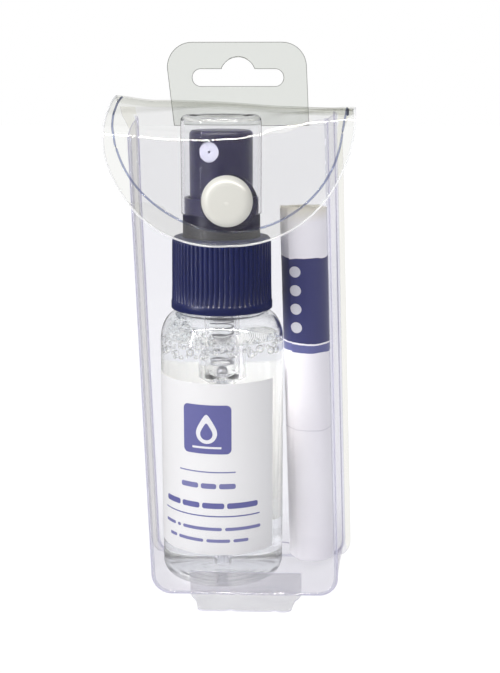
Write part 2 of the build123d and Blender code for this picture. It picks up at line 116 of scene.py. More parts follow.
def spline(points, t):
    """Catmull-Rom curve through the points, at t from 0 to 1."""
    count = len(points) - 1
    place = min(max(t, 0.0), 1.0) * count
    i = min(int(place), count - 1)
    f = place - i
    p = [np.array(points[min(max(k, 0), count)], float) for k in (i - 1, i, i + 1, i + 2)]
    return 0.5 * (2 * p[1] + (p[2] - p[0]) * f + (2 * p[0] - 5 * p[1] + 4 * p[2] - p[3]) * f ** 2
                  + (3 * p[1] - p[0] - 3 * p[2] + p[3]) * f ** 3)


def wave(x, y, z, size, seed=0.0):
    """Soft noise from -1 to 1, with features of a size in millimetres."""
    return noise.noise(Vector((x / size + seed, y / size - seed, z / size + 2 * seed)))


def put(name, data):
    """New object in the scene."""
    thing = bpy.data.objects.new(name, data)
    bpy.context.scene.collection.objects.link(thing)
    return thing


def make(name, points, faces, materials, face_slots=None, sharp=40):
    """Object from points in millimetres."""
    mesh = bpy.data.meshes.new(name)
    mesh.from_pydata((np.array(points, float) * MM).tolist(), [], faces)
    for material in materials:
        mesh.materials.append(material)
    if face_slots is not None:
        mesh.polygons.foreach_set("material_index", face_slots)
    mesh.polygons.foreach_set("use_smooth", [True] * len(mesh.polygons))
    mesh.set_sharp_from_angle(angle=math.radians(sharp))
    mesh.validate()
    mesh.update()
    return put(name, mesh)


def grid_normals(grid):
    """Unit normals of a grid of points, from its neighbours."""
    across = np.gradient(grid, axis=1)
    normal = np.cross(across, np.gradient(grid, axis=0))
    return normal / np.maximum(np.linalg.norm(normal, axis=2, keepdims=True), 1e-9)


def skin(rings):
    """Faces between rings of point numbers, each ring joined to the next."""
    count = len(rings[0])
    return [(low[i], low[(i + 1) % count], high[(i + 1) % count], high[i])
            for low, high in zip(rings, rings[1:]) for i in range(count)]


def film(name, place, columns, rows, materials, thick=FILM, seams=(), pick=None):
    """Sheet with thickness from place(u, v) in millimetres, with u and v from 0 to 1.

    Columns and rows are counts or lists of positions.  A seam is an edge with no rim, where
    the next piece goes on.  The rims take the second material; pick(point) names the
    material of a face where the sheet has more than two.
    """
    us = np.linspace(0, 1, columns) if isinstance(columns, int) else np.array(columns)
    vs = np.linspace(0, 1, rows) if isinstance(rows, int) else np.array(rows)
    grid = np.array([[place(u, v) for u in us] for v in vs], float)
    normal = grid_normals(grid)
    count_v, count_u = grid.shape[:2]
    points = np.concatenate([(grid + normal * thick / 2).reshape(-1, 3),
                             (grid - normal * thick / 2).reshape(-1, 3)])
    layer = count_u * count_v
    faces = []
    slots = []
    for j in range(count_v - 1):
        for i in range(count_u - 1):
            a = j * count_u + i
            b, c, d = a + 1, a + count_u + 1, a + count_u
            faces.append((a, b, c, d))
            faces.append((layer + d, layer + c, layer + b, layer + a))
            slots += [pick(grid[j, i])] * 2 if pick else [0, 0]
    last_row = layer - count_u
    edges = {
        "v0": range(count_u)[::-1],
        "v1": range(last_row, layer),
        "u0": range(0, layer, count_u),
        "u1": range(count_u - 1, layer, count_u)[::-1],
    }
    for edge, line in edges.items():
        if edge in seams:
            continue
        for a, b in zip(line, line[1:]):
            faces.append((a, b, layer + b, layer + a))
            slots.append(1 if len(materials) > 1 else 0)
    return make(name, points, faces, materials, slots)


def tube(name, path, wide, high, materials, face=(0, -1, 0), sides=10):
    """Tube with an oval section along a path; face is the direction of its height, or a list."""
    path = np.array(path, float)
    count = len(path)
    up = np.array(face, float)
    if up.ndim == 1:
        up = np.repeat(up[None, :], count, axis=0)
    tangent = np.gradient(path, axis=0)
    tangent /= np.linalg.norm(tangent, axis=1, keepdims=True)
    side = np.cross(tangent, up)
    side /= np.maximum(np.linalg.norm(side, axis=1, keepdims=True), 1e-9)
    up = np.cross(side, tangent)
    turns = np.linspace(0, 2 * math.pi, sides, endpoint=False)
    rings = [path + side * math.cos(a) * wide / 2 + up * math.sin(a) * high / 2 for a in turns]
    points = np.stack(rings, axis=1).reshape(-1, 3)
    numbers = [range(j * sides, (j + 1) * sides) for j in range(count)]
    ends = [tuple(numbers[0])[::-1], tuple(numbers[-1])]
    return make(name, points, skin(numbers) + ends, materials, sharp=60)


def lathe(name, profile, materials, segments=128):
    """Body turned about the bottle's axis, from (radius, height) points; a radius of 0 closes it."""
    points = []
    rings = []
    for radius, height in profile:
        if radius < 1e-6:
            rings.append([len(points)])
            points.append((BOTTLE_X, 0, height))
            continue
        rings.append(range(len(points), len(points) + segments))
        for i in range(segments):
            turn = 2 * math.pi * i / segments
            points.append((BOTTLE_X + radius * math.cos(turn), radius * math.sin(turn), height))
    faces = []
    for low, high in zip(rings, rings[1:]):
        turns = [(i, (i + 1) % segments) for i in range(segments)]
        if len(low) == 1:
            faces += [(low[0], high[j], high[i]) for i, j in turns]
        elif len(high) == 1:
            faces += [(low[i], low[j], high[0]) for i, j in turns]
        else:
            faces += skin([low, high])
    return make(name, points, faces, materials, sharp=35)


def arc(centre, radius, start, end, steps):
    """Points on an arc, angles in degrees."""
    turns = [math.radians(lerp(start, end, k / steps)) for k in range(steps + 1)]
    return [(centre[0] + radius * math.cos(t), centre[1] + radius * math.sin(t)) for t in turns]


def corner_cut(corner, distance):
    """How far a rounded corner pulls an outline in, at a distance inside its end."""
    return corner - math.sqrt(max(0.0, corner ** 2 - (corner - distance) ** 2))


# --- material helpers ---
class Nodes:
    """Short way to build the node tree of a material or a world."""

    def __init__(self, name, kind="Material"):
        store = bpy.data.materials if kind == "Material" else bpy.data.worlds
        self.owner = store.new(name)
        self.owner.use_nodes = True
        self.tree = self.owner.node_tree
        self.tree.nodes.clear()
        self.output = self.add("Output" + kind)

    def add(self, kind, inputs=None, **settings):
        node = self.tree.nodes.new("ShaderNode" + kind)
        for key, value in settings.items():
            setattr(node, key, value)
        for key, value in (inputs or {}).items():
            if isinstance(value, bpy.types.NodeSocket):
                self.tree.links.new(value, node.inputs[key])
            else:
                node.inputs[key].default_value = value
        return node

    def shader(self, kind, inputs):
        return self.add("Bsdf" + kind, inputs).outputs[0]

    def coords(self):
        return self.add("TexCoord").outputs["Object"]

    def axes(self, vector):
        return self.add("SeparateXYZ", {"Vector": vector}).outputs

    def noise(self, scale, detail=3.0, rough=0.5, vector=None):
        inputs = {"Vector": vector or self.coords(), "Scale": scale, "Detail": detail,
                  "Roughness": rough}
        return self.add("TexNoise", inputs).outputs["Fac"]

    def math(self, operation, a, b=0.0, c=0.0):
        return self.add("Math", {0: a, 1: b, 2: c}, operation=operation).outputs[0]

    def times(self, *values):
        """Product of all the values."""
        product = values[0]
        for value in values[1:]:
            product = self.math("MULTIPLY", product, value)
        return product

    def scaled(self, value, scale, base):
        """value * scale + base."""
        return self.math("MULTIPLY_ADD", value, scale, base)

    def mix(self, fac, a, b):
        colours = {key: value if isinstance(value, bpy.types.NodeSocket) else (*value, 1)
                   for key, value in ((6, a), (7, b))}
        return self.add("Mix", {0: fac, **colours}, data_type="RGBA").outputs[2]

    def bump(self, height, strength, distance):
        inputs = {"Height": height, "Strength": strength, "Distance": distance}
        return self.add("Bump", inputs).outputs[0]

    def blend(self, fac, a, b):
        return self.add("MixShader", {0: fac, 1: a, 2: b}).outputs[0]

    def finish(self, shader):
        self.tree.links.new(shader, self.output.inputs["Surface"])
        return self.owner


def rgb(red, green, blue):
    """Linear colour from display values of 0 to 255."""
    return tuple((v / 255 / 12.92 if v < 10.3 else ((v / 255 + 0.055) / 1.055) ** 2.4)
                 for v in (red, green, blue))


FILM_RIPPLE = 0.00012           # depth of the ripples in the films' gloss, in metres
LOW_HAZE_TOP = 0.016            # height below which a film grows milky, in metres


def clear_film(name, tint, edge_tint, haze, rough=0.05, veil_colour=(228, 226, 236), low_haze=0.0,
               mirror=0.036):
    """Clear film: darker and glossier where it is seen edge on, with a faint milky veil."""
    n = Nodes(name)
    soft = n.noise(90, 2)
    fine = n.times(n.noise(900, 2), 0.06)
    normal = n.bump(n.scaled(soft, 1.0, fine), 1.0, FILM_RIPPLE)
    facing = n.add("LayerWeight", {"Blend": 0.5, "Normal": normal}).outputs["Facing"]
    slope = n.math("POWER", facing, 5.0)
    base = n.mix(n.noise(35, 2), tint, tuple(c * 0.992 for c in tint))
    clear = n.shader("Transparent", {"Color": n.mix(slope, base, edge_tint)})
    veil = n.shader("Diffuse", {"Color": (*rgb(*veil_colour), 1)})
    share = n.scaled(n.noise(60, 3), haze, haze * 0.5)
    if low_haze:
        height = n.axes(n.coords())["Z"]
        lowness = n.add("MapRange", {"Value": height, "From Min": LOW_HAZE_TOP, "From Max": 0.0})
        share = n.scaled(lowness.outputs[0], low_haze, share)
    body = n.blend(share, clear, veil)
    gloss = n.shader("Glossy", {"Roughness": rough, "Normal": normal})
    return n.finish(n.blend(n.scaled(slope, 0.07, mirror), body, gloss))


def edge_film(name, colour, clear_share):
    """Cut edge of the film, which gathers light."""
    n = Nodes(name)
    tone = n.mix(n.noise(400, 3), colour, tuple(min(1.0, c * 1.25) for c in colour))
    body = n.shader("Principled", {"Base Color": tone, "Roughness": 0.25})
    clear = n.shader("Transparent", {"Color": (0.9, 0.9, 0.93, 1)})
    return n.finish(n.blend(n.scaled(n.noise(150, 2), 0.3, clear_share - 0.15), body, clear))


def glass(name, colour, ior, rough=0.0, ripple=0.0):
    """Clear solid that bends light."""
    n = Nodes(name)
    inputs = {"Color": (*colour, 1), "IOR": ior, "Roughness": rough}
    if ripple:
        inputs["Normal"] = n.bump(n.noise(120, 2), 1.0, ripple)
    return n.finish(n.shader("Glass", inputs))


def moulded(name, dark, light, rough, coat=0.0, grain=700.0):
    """Moulded plastic, with a faint grain, soft sink marks and handling wear."""
    n = Nodes(name)
    cloud = n.noise(60, 3)
    fine = n.noise(grain, 4, 0.6)
    drawn_out = n.add("Mapping", {"Vector": n.coords(), "Scale": (1, 1, 0.12)}).outputs[0]
    wear = n.math("ADD", fine, n.noise(1500, 2, vector=drawn_out))
    normal = n.bump(n.math("ADD", fine, n.times(cloud, 2.0)), 1.0, 0.000004)
    return n.finish(n.shader("Principled", {
        "Base Color": n.mix(cloud, dark, light), "Roughness": n.scaled(wear, 0.12, rough - 0.12),
        "Normal": normal, "Coat Weight": coat, "IOR": 1.49}))


FILM_CLEAR = clear_film("film_clear", (0.980, 0.979, 0.990), (0.955, 0.95, 0.97), 0.003,
                        veil_colour=(200, 198, 206), low_haze=0.15, mirror=0.018)
FLAP_CLEAR = clear_film("flap_clear", (0.972, 0.974, 0.964), (0.80, 0.80, 0.775), 0.003, mirror=0.018)
FLANGE_CLEAR = clear_film("flange_clear", (0.965, 0.962, 0.940), (0.84, 0.83, 0.80), 0.02, mirror=0.03)
FLAP_FLANGE = clear_film("flap_flange", (0.972, 0.974, 0.962), (0.80, 0.80, 0.79), 0.06, mirror=0.04,
                         veil_colour=(200, 200, 190))
TONGUE_CLEAR = clear_film("tongue_clear", (0.935, 0.935, 0.942), (0.79, 0.79, 0.82), 0.21,
                          veil_colour=(184, 183, 190))
FILM_EDGE = edge_film("film_edge", rgb(205, 203, 218), 0.35)
TAB_CLEAR = clear_film("tab_clear", (0.905, 0.915, 0.895), (0.66, 0.68, 0.64), 0.03, rough=0.08)
TAB_EDGE = edge_film("tab_edge", rgb(62, 68, 52), 0.22)
WELD_CLEAR = clear_film("weld_clear", (0.93, 0.93, 0.96), (0.42, 0.42, 0.56), 0.03)
BEAD_CLEAR = clear_film("bead_clear", (0.66, 0.69, 0.80), (0.02, 0.03, 0.12), 0.02)
RIM_CLEAR = clear_film("rim_clear", (0.97, 0.97, 0.972), (0.78, 0.79, 0.80), 0.40, rough=0.12,
                       veil_colour=(250, 250, 252))
PET = glass("bottle_pet", (0.99, 0.993, 0.993), 1.45, ripple=0.00004)
LIQUID = glass("cleaning_liquid", (0.992, 0.994, 0.995), 1.333)
BUBBLE = glass("bubble_air", (1.0, 1.0, 1.0), 0.78)
FOAM = glass("foam_film", (0.985, 0.99, 0.99), 1.33)
OVERCAP = glass("overcap_clear", (0.97, 0.97, 0.976), 1.13, ripple=0.00002)
OVERCAP_CROWN = glass("overcap_crown", (0.97, 0.97, 0.975), 1.42, ripple=0.00003)
HOUSING = glass("housing_clear", (0.99, 0.99, 0.99), 1.37, rough=0.12)
NAVY = moulded("navy_plastic", rgb(9, 18, 68), rgb(14, 29, 94), 0.34)
NAVY_PUMP = moulded("navy_pump", rgb(18, 15, 46), rgb(24, 21, 57), 0.34)
CREAM = moulded("snap_cream", rgb(206, 205, 198), rgb(215, 214, 208), 0.36, grain=260.0, coat=0.15)
LILAC = moulded("nozzle_lilac", rgb(182, 182, 206), rgb(204, 204, 220), 0.3)
NATURAL = clear_film("natural_plastic", (0.86, 0.88, 0.88), (0.45, 0.48, 0.50), 0.35, rough=0.25)
SOCKET = glass("snap_clear", (0.90, 0.90, 0.90), 1.5, rough=0.03)

PAINTED_INNER_GLOW = 0.17               # painted light: strength of a glow on the paper's inner face, in place of light that comes through the paper


def white_label():
    """Coated paper wrap: near white, with a fine fibre and a slight sheen; its inner face glows as
    painted light.
    """
    n = Nodes("label_paper")
    fibre = n.noise(2600, 5, 0.65)
    colour = n.mix(n.noise(45, 2), rgb(249, 249, 248), rgb(241, 241, 238))
    speck = n.mix(n.times(fibre, 0.25), colour, rgb(228, 227, 224))
    geometry = n.add("NewGeometry").outputs
    facing = n.axes(geometry["Normal"])
    place = n.axes(geometry["Position"])
    across = n.math("SUBTRACT", place["X"], BOTTLE_X * MM)
    outward = n.scaled(facing["X"], across, n.times(facing["Y"], place["Y"]))
    # painted light: faces that look in towards the bottle's axis glow, standing in for light through
    # the paper
    inner = n.math("LESS_THAN", outward, 0.0)
    return n.finish(n.shader("Principled", {
        "Base Color": speck, "Roughness": 0.42, "Normal": n.bump(fibre, 0.5, 0.00001),
        "Coat Weight": 0.1, "Coat Roughness": 0.25, "Emission Color": (0.97, 0.98, 1.0, 1),
        "Emission Strength": n.times(inner, PAINTED_INNER_GLOW)}))


def ink(name, colour):
    """Printed ink, slightly uneven."""
    n = Nodes(name)
    press = n.noise(1800, 4, 0.7)
    tone = n.mix(n.times(press, 0.5), colour, tuple(min(1.0, c * 1.4 + 0.02) for c in colour))
    return n.finish(n.shader("Principled", {"Base Color": tone, "Roughness": 0.4,
                                            "Normal": n.bump(press, 0.4, 0.000008)}))


def steel(name, dark, light, rough):
    """Drawn wire or a polished ball."""
    n = Nodes(name)
    drawn = n.noise(900, 3)
    return n.finish(n.shader("Principled", {"Base Color": n.mix(drawn, dark, light), "Metallic": 1.0,
                                            "Roughness": n.scaled(drawn, 0.2, rough)}))


PAPER = white_label()
INK = ink("print_violet", rgb(98, 99, 158))
INK_SOFT = ink("print_violet_soft", rgb(120, 121, 170))
INK_WHITE = ink("print_white", rgb(236, 236, 238))
SPRING_STEEL = steel("spring_steel", rgb(150, 150, 155), rgb(190, 190, 195), 0.22)
SEAL = moulded("seal_rubber", rgb(205, 205, 203), rgb(220, 220, 218), 0.55)

# Height on the roll of each printed edge: navy field, pale gap and pale strip.
PRINT_TOP = 79.9
PRINT_LOW = 58.7
STRIP_TOP = 58.3
STRIP_LOW = 56.4
PRINT_WOBBLE = 1.2              # how unevenly those edges run
SHADED_CREASE = 36.4                   # height of a painted shade line, where the roll has a faint crease pressed in
DOT_PITCH = 4.6                 # of the pale dots down the left of the field
DOT_LOW = 60.4
DOT_COUNT = 4
DOT_RADIUS = 1.35
DOT_X = 14.1                    # of their line, before the lean
DOT_BACK = 5.0                  # depth beyond which the roll has none


def microfibre():
    """Knitted microfibre, with a printed navy field, a pale strip under it and a painted shade line at
    a crease.
    """
    n = Nodes("microfibre")
    place = n.coords()
    axes = n.axes(place)
    height = axes["Z"]
    wobble = n.scaled(n.noise(160, 2), PRINT_WOBBLE * MM, height)
    knit = n.add("TexVoronoi", {"Vector": place, "Scale": 2600.0}).outputs["Distance"]
    fuzz = n.noise(3200, 5, 0.7)
    base = n.mix(n.noise(70, 3), rgb(246, 245, 248), rgb(235, 232, 238))

    def band(low, high):
        above = n.math("GREATER_THAN", wobble, (low + PRINT_WOBBLE / 2) * MM)
        below = n.math("LESS_THAN", wobble, (high + PRINT_WOBBLE / 2) * MM)
        return n.times(above, below)

    navy = n.mix(fuzz, rgb(34, 38, 96), rgb(44, 48, 110))
    strip = n.mix(fuzz, rgb(84, 88, 144), rgb(96, 100, 154))
    pale = n.mix(fuzz, rgb(196, 196, 204), rgb(214, 214, 220))
    across = n.scaled(height, -LEAN, n.math("SUBTRACT", axes["X"], DOT_X * MM))
    climb = n.math("SUBTRACT", height, DOT_LOW * MM)
    step = n.math("SUBTRACT", n.math("MODULO", climb, DOT_PITCH * MM), DOT_PITCH / 2 * MM)
    away = n.math("SQRT", n.math("ADD", n.times(across, across), n.times(step, step)))
    dots = n.times(n.math("LESS_THAN", away, DOT_RADIUS * MM),
                   n.math("LESS_THAN", axes["Y"], DOT_BACK * MM),
                   n.math("LESS_THAN", climb, DOT_COUNT * DOT_PITCH * MM),
                   n.math("GREATER_THAN", climb, 0.0))
    printed = n.mix(band(PRINT_LOW, PRINT_TOP), base, n.mix(dots, navy, pale))
    printed = n.mix(band(STRIP_LOW, STRIP_TOP), printed, strip)
    tip = n.add("MapRange", {"Value": height, "From Min": (CLOTH_HIGH.z - 4) * MM,
                             "From Max": (CLOTH_HIGH.z - 0.5) * MM}).outputs[0]
    printed = n.mix(n.times(tip, fuzz, 1.1), printed, rgb(214, 207, 176))
    # painted shade: a thin grey line along the crease, where shade falls
    printed = n.mix(n.times(band(SHADED_CREASE, SHADED_CREASE + 0.25), 0.5), printed, rgb(190, 188, 198))
    surface = n.math("ADD", n.times(knit, 0.6), fuzz)
    return n.finish(n.shader("Principled", {
        "Base Color": printed, "Roughness": 0.95, "Sheen Weight": 0.35, "Sheen Roughness": 0.5,
        "Normal": n.bump(surface, 0.7, 0.00002)}))


MICROFIBRE = microfibre()


# --- pouch ---
def rounded(half, corner, height):
    """Half width of an upright panel with rounded bottom corners."""
    return half if height >= corner else half - corner_cut(corner, height)


def rows_with_corner(corner, top, near, far):
    """Row positions from 0 to 1, close together in the rounded corner."""
    low = [corner * (1 - math.cos(math.radians(90 * k / near))) / top for k in range(near)]
    return low + [lerp(corner / top, 1, k / far) for k in range(far + 1)]


# Height of the front panel's top edge, by the place across.
FRONT_TOP = ((-26, 109.6), (-14, 108.9), (-2, 109.1), (8, 110.4), (17, 113.4), (19, 113.6))


def front_place(u, v):
    side = 2 * u - 1
    half = rounded(FRONT_HALF, FRONT_CORNER, v * FRONT_HEIGHT)
    z = v * along(FRONT_TOP, LEAN * FRONT_HEIGHT + side * FRONT_HALF)
    x = LEAN * z + side * half
    inner = (1 - side ** 4) * smooth(0, 12, z)
    sag = 0.35 * math.sin(z / 19 + 0.8) * smooth(-0.2, 0.9, side)
    y = FRONT_Y - inner * (0.25 - sag - 0.35 * wave(x, 0, z, 26, 3.1))
    return (x, min(y, FRONT_Y + 0.15), z + FILM / 2 * (1 - v))


def weld_y(z):
    """Depth of the line where the gusset meets the back panel."""
    return along(((0, 7.6), (94, 8.0), (108, 9.6), (116, 9.9)), z) + FILM / 2


def middle_y(z):
    """Depth of the middle of the back panel."""
    return along(((0, 18.4), (60, 17.8), (90, 17.4), (109, 10.1), (116, 9.95)), z) + FILM / 2


def gusset_line(half, corner, middle, top_left, top_right, t):
    """Point (x, z) on a panel's outline: down the left, round the bottom and up the right."""
    quarter = corner * math.pi / 2
    flat = 2 * (half - corner)
    length = top_left + top_right - 2 * corner + 2 * quarter + flat
    s = t * length
    sign, top = -1, top_left
    if s > top_left - corner + quarter + flat / 2:
        s = length - s
        sign, top = 1, top_right
    if s < top - corner:
        z = top - s
        return (middle + LEAN * z + sign * half, z)
    s -= top - corner
    if s < quarter:
        z = corner - corner * math.sin(s / corner)
        return (middle + LEAN * z + sign * (half - corner * (1 - math.cos(s / corner))), z)
    return (middle + sign * (half - corner - s + quarter), 0.0)


def gusset_place(u, v):
    """Point on the gusset; u runs round the outline and v from the front panel to the back."""
    x0, z0 = gusset_line(FRONT_HALF, FRONT_CORNER, 0, 109.6, 113.5, u)
    x1, z1 = gusset_line(WELD_HALF, FRONT_CORNER, BACK_X, 113, 114.5, u)
    y1 = weld_y(z1) if z1 > 1 or abs(x1) > 15 else middle_y(0)
    reach = min(1, abs(x1 - BACK_X) / WELD_HALF)
    deep = lerp(weld_y(z1), middle_y(z1), 1 - reach ** 2)
    y1 = lerp(y1, deep, 1 - smooth(0.0, 5.0, z1))
    k = smooth(0, 1, v)
    x = lerp(x0, x1, lerp(v, k, 0.35))
    z = lerp(z0, z1, v)
    y = lerp(FRONT_Y, y1, v)
    side = smooth(3, 12, z)
    bow = math.sin(math.pi * v)
    out = 1 if x > LEAN * z else -1
    ripple = wave(0, y, z, 30, 7.7 * out)
    x += out * side * bow * (0.15 + 0.5 * ripple) - out * side * 0.25 * bow * math.sin(z / 23)
    return (x, y, max(z, 0.0) + FILM / 2 * (1 - smooth(0, 6, z)))


def back_place(u, v):
    side = 2 * u - 1
    top = min(BACK_HEIGHT, fold_line(BACK_X + LEAN * 115 + side * FLANGE_HALF) - 0.9)
    z = lerp(FILM / 2, top, v)
    flare = 2.2 * smooth(109, 115, z)
    half = rounded(FLANGE_HALF, BACK_CORNER, z) + flare
    across = side * half
    reach = min(1.0, abs(across) / WELD_HALF)
    y = lerp(weld_y(z), middle_y(z), 1 - reach ** 2)
    beyond = max(0.0, abs(across) - WELD_HALF)
    y += 0.25 * wave(across, 0, z, 22, 1.3) * (1 - reach ** 4) + 0.06 * beyond * math.sin(z / 14)
    return (BACK_X + LEAN * z + across, y, z)


# Section (y, z) of the film tongue the pouch stands on, and the half widths of its root and tip.
TONGUE_PATH = ((-16.9, 6.0), (-16.95, 3.2), (-17.2, 1.2), (-18.3, 0.35), (-20.8, 0.22), (-26.1, 0.2))
TONGUE_ROOT, TONGUE_TIP = 13.4, 11.0
TONGUE_CORNER = 1.6
TONGUE_NOTCHES = (-3.4, 7.0)


def tongue_place(u, v):
    y, z = spline(TONGUE_PATH, v)
    run = smooth(0.45, 1.0, v)
    half = lerp(TONGUE_ROOT, TONGUE_TIP, run)
    to_tip = y - TONGUE_PATH[-1][0]
    if to_tip < TONGUE_CORNER:
        half -= corner_cut(TONGUE_CORNER, to_tip)
    x = (2 * u - 1) * half
    notch = 0.5 * sum(math.exp(-((x - c) / 0.9) ** 2) for c in TONGUE_NOTCHES) * smooth(0.85, 1.0, v)
    z += 0.12 * abs(wave(x, y, 0, 6, 4.0)) * run
    return (x + 0.2, y + notch, z)


FOLD_TOP = 117.0                # height of the fold at its left, where the back panel turns over


def fold_line(x):
    """Height of the flap's fold at the back."""
    droop = 2.2 * smooth(-20, 28, x) - 1.1 * (1 - smooth(-32, -22, x))
    return FOLD_TOP - droop + 0.08 * wave(x, 0, 0, 9, 2.2)


# Height of the flap's front bend, by the place across.
BEND_LINE = ((-31, 110.6), (-26, 110.1), (-17, 109.3), (-9, 109.0), (-2, 109.4), (2.5, 110.2),
             (6, 111.5), (10, 112.3), (16.5, 113.2), (24.5, 113.8))


def flap_path(x):
    """Points (y, z) of the flap's middle surface, from the back panel to the top of the lobe."""
    fold = fold_line(x)
    bend = along(BEND_LINE, x)
    over_cap = math.exp(-((x - BOTTLE_X) / 11) ** 2)
    return [(10.07, fold - 1.6), (10.0, fold - 0.55), (9.2, fold - 0.02), (7.4, fold + 0.02),
            (0.0, lerp(fold, 116.2, 0.5) - 0.1), (-6.5, 115.35 + 0.85 * over_cap),
            (-10.5, 114.5 + 1.25 * over_cap), (-14.5, bend + 2.3), (-16.9, bend + 1.1),
            (-18.1, bend - 0.5), (LOBE_Y - 0.15, bend - 2.6)]


LOBE_START = math.radians(8.5)
LOBE_END = math.radians(89.2)
LOBE_SHARE = 0.42               # part of the flap's rows that lies in the lobe
LEFT_FLARE = 0.8                # how much wider the flap runs on its left, where it curls
LEFT_BULGE = 1.4                # how much fuller the lobe is at its lower left
SEAM = 0.34                     # place of the seam between the flap's two pieces
FLAP_COLUMNS = 57


def lobe_surface(x, z):
    """Depth of the lobe's middle surface: bowed round the snap, with a soft swell."""
    bow = 0.25 * math.cos((x - FLAP_X) / LOBE_RADIUS * 2.2)
    return LOBE_Y - 0.1 - bow * smooth(84, 100, z) + 0.15 * wave(x, 0, z, 17, 5.5)


def flap_half(t):
    return lerp(28.4, LOBE_RADIUS * math.cos(LOBE_START), smooth(0.05, 1 - LOBE_SHARE, t))


def flap_place(side, t):
    """Point on the flap; side runs from -1 to 1 and t from the back panel to the lobe's tip."""
    top_share = 1 - LOBE_SHARE
    if t <= top_share:
        x = FLAP_X + side * flap_half(t)
        y, z = spline(flap_path(x), t / top_share)
        x -= LEFT_FLARE * smooth(0.55, 1.0, -side)
        droop = 0.5 * smooth(0.9, 1.0, abs(side)) * smooth(0.1, 0.3, t)
        return (x, y, z - droop * 0.4)
    k = (t - top_share) / LOBE_SHARE
    turn = lerp(LOBE_START, LOBE_END, k)
    x = FLAP_X + side * LOBE_RADIUS * math.cos(turn)
    start = spline(flap_path(x), 1)
    x -= LEFT_FLARE * smooth(0.55, 1.0, -side) * (1 - smooth(0, 0.35, k))
    nominal = LOBE_CENTRE_Z - LOBE_RADIUS * math.sin(turn)
    first = LOBE_CENTRE_Z - LOBE_RADIUS * math.sin(LOBE_START)
    z = nominal + (start[1] - first) * (1 - k) ** 3
    bulge = LEFT_BULGE * smooth(0.3, 1.0, -side) * math.sin(math.pi * k)
    x -= bulge * math.cos(turn)
    z -= bulge * math.sin(turn)
    y = lerp(start[0], lobe_surface(x, z), smooth(0, 0.25, k))
    return (x, y, z)


def flap_sheet(u, v):
    return flap_place(2 * u - 1, v)


def bead_path(side_sign, start, end, steps):
    """Line of the weld bead along one side of the flap's top, with its outward directions."""
    points = []
    faces = []
    for k in range(steps + 1):
        t = lerp(start, end, k / steps)
        inset = lerp(1.3, BEAD_SIDE_INSET, min(1.0, t / (1 - LOBE_SHARE)) ** 3)
        side = side_sign * (1 - inset / flap_half(t))
        here = np.array(flap_place(side, t))
        ahead = np.subtract(flap_place(side, t + 0.004), flap_place(side, t - 0.004))
        normal = np.cross((1, 0, 0), ahead)
        normal /= np.linalg.norm(normal)
        faces.append(normal)
        points.append(here + normal * FILM / 2)
    return points, faces


def bead_round_lobe(steps):
    """Line of the bead round the lobe, from the left to the right."""
    limit = 1 - LOBE_SHARE
    left = np.array(bead_path(-1, limit, limit, 1)[0][0])
    right = np.array(bead_path(1, limit, limit, 1)[0][0])
    first = math.atan2(left[2] - LOBE_CENTRE_Z, left[0] - FLAP_X)
    last = math.atan2(right[2] - LOBE_CENTRE_Z, right[0] - FLAP_X)
    first = first + 2 * math.pi if first < 0 else first
    last = last + 2 * math.pi
    reach = [np.linalg.norm(p[[0, 2]] - (FLAP_X, LOBE_CENTRE_Z)) for p in (left, right)]
    points = []
    for k in range(1, steps):
        share = k / steps
        turn = lerp(first, last, share)
        low = math.sin(math.pi * share)
        radius = LOBE_RADIUS - lerp(BEAD_SIDE_INSET, BEAD_INSET, low ** 1.5)
        radius = lerp(reach[0], radius, smooth(-0.06, 0.30, share))
        radius = lerp(radius, reach[1], smooth(0.70, 1.06, share))
        x = FLAP_X + radius * math.cos(turn)
        z = LOBE_CENTRE_Z + radius * math.sin(turn)
        edge = min(smooth(0, 0.12, share), 1 - smooth(0.88, 1, share))
        rim = left[1] if share < 0.5 else right[1]
        points.append((x, lerp(rim, lobe_surface(x, z) - FILM / 2, edge), z))
    return points, [(0, -1, 0)] * len(points)


def make_pouch():
    """Front, gusset, back and tongue of film, and the weld lines between them."""
    films = [FILM_CLEAR, FILM_EDGE]
    front_rows = rows_with_corner(FRONT_CORNER, FRONT_HEIGHT, 8, 56)
    front = film("pouch_front", front_place, 41, front_rows, films)
    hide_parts("front_panel")
    gusset = film("pouch_gusset", gusset_place, 260, 19, films)
    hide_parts("side_gusset")

    def past_weld(point):
        across = point[0] - BACK_X - LEAN * point[2]
        return 2 if abs(across) > WELD_HALF + 0.4 else 0

    flange = (24.6, 25, 25.5, FLANGE_HALF)
    places = [-x for x in flange[::-1]] + list(np.linspace(-24.3, 24.3, 57)) + list(flange)
    back = film("pouch_back", back_place, [(1 + x / FLANGE_HALF) / 2 for x in places],
                rows_with_corner(BACK_CORNER, BACK_HEIGHT, 8, 60), [*films, FLANGE_CLEAR],
                pick=past_weld)
    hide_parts("back_panel")
    tongue = film("pouch_tongue", tongue_place, 61, 48, [TONGUE_CLEAR, FILM_EDGE])
    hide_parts("base_tongue")
    steps = 240
    line = [gusset_line(FRONT_HALF - 0.35, FRONT_CORNER, 0, 109.4, 113.3, k / steps)
            for k in range(steps + 1)]
    path = [(x, FRONT_Y - 0.05, z + 0.35) for x, z in line]
    front_weld = tube("front_weld", path, 0.9, 0.5, [WELD_CLEAR])
    line = [gusset_line(WELD_HALF + 0.3, BACK_CORNER, BACK_X, 113, 114, k / steps)
            for k in range(steps + 1)]
    path = [(x, weld_y(z) - 0.05, z + 0.4) for x, z in line]
    back_weld = tube("back_weld", path, 0.8, 0.45, [WELD_CLEAR])
    for piece in (front, gusset, back, tongue, front_weld, back_weld):
        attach(piece, "pouch")
        piece.visible_shadow = False


def rim_path(side_sign, start, end, steps):
    """Line of the flap's cut edge along one side."""
    return [flap_place(side_sign, lerp(start, end, k / steps)) for k in range(steps + 1)]


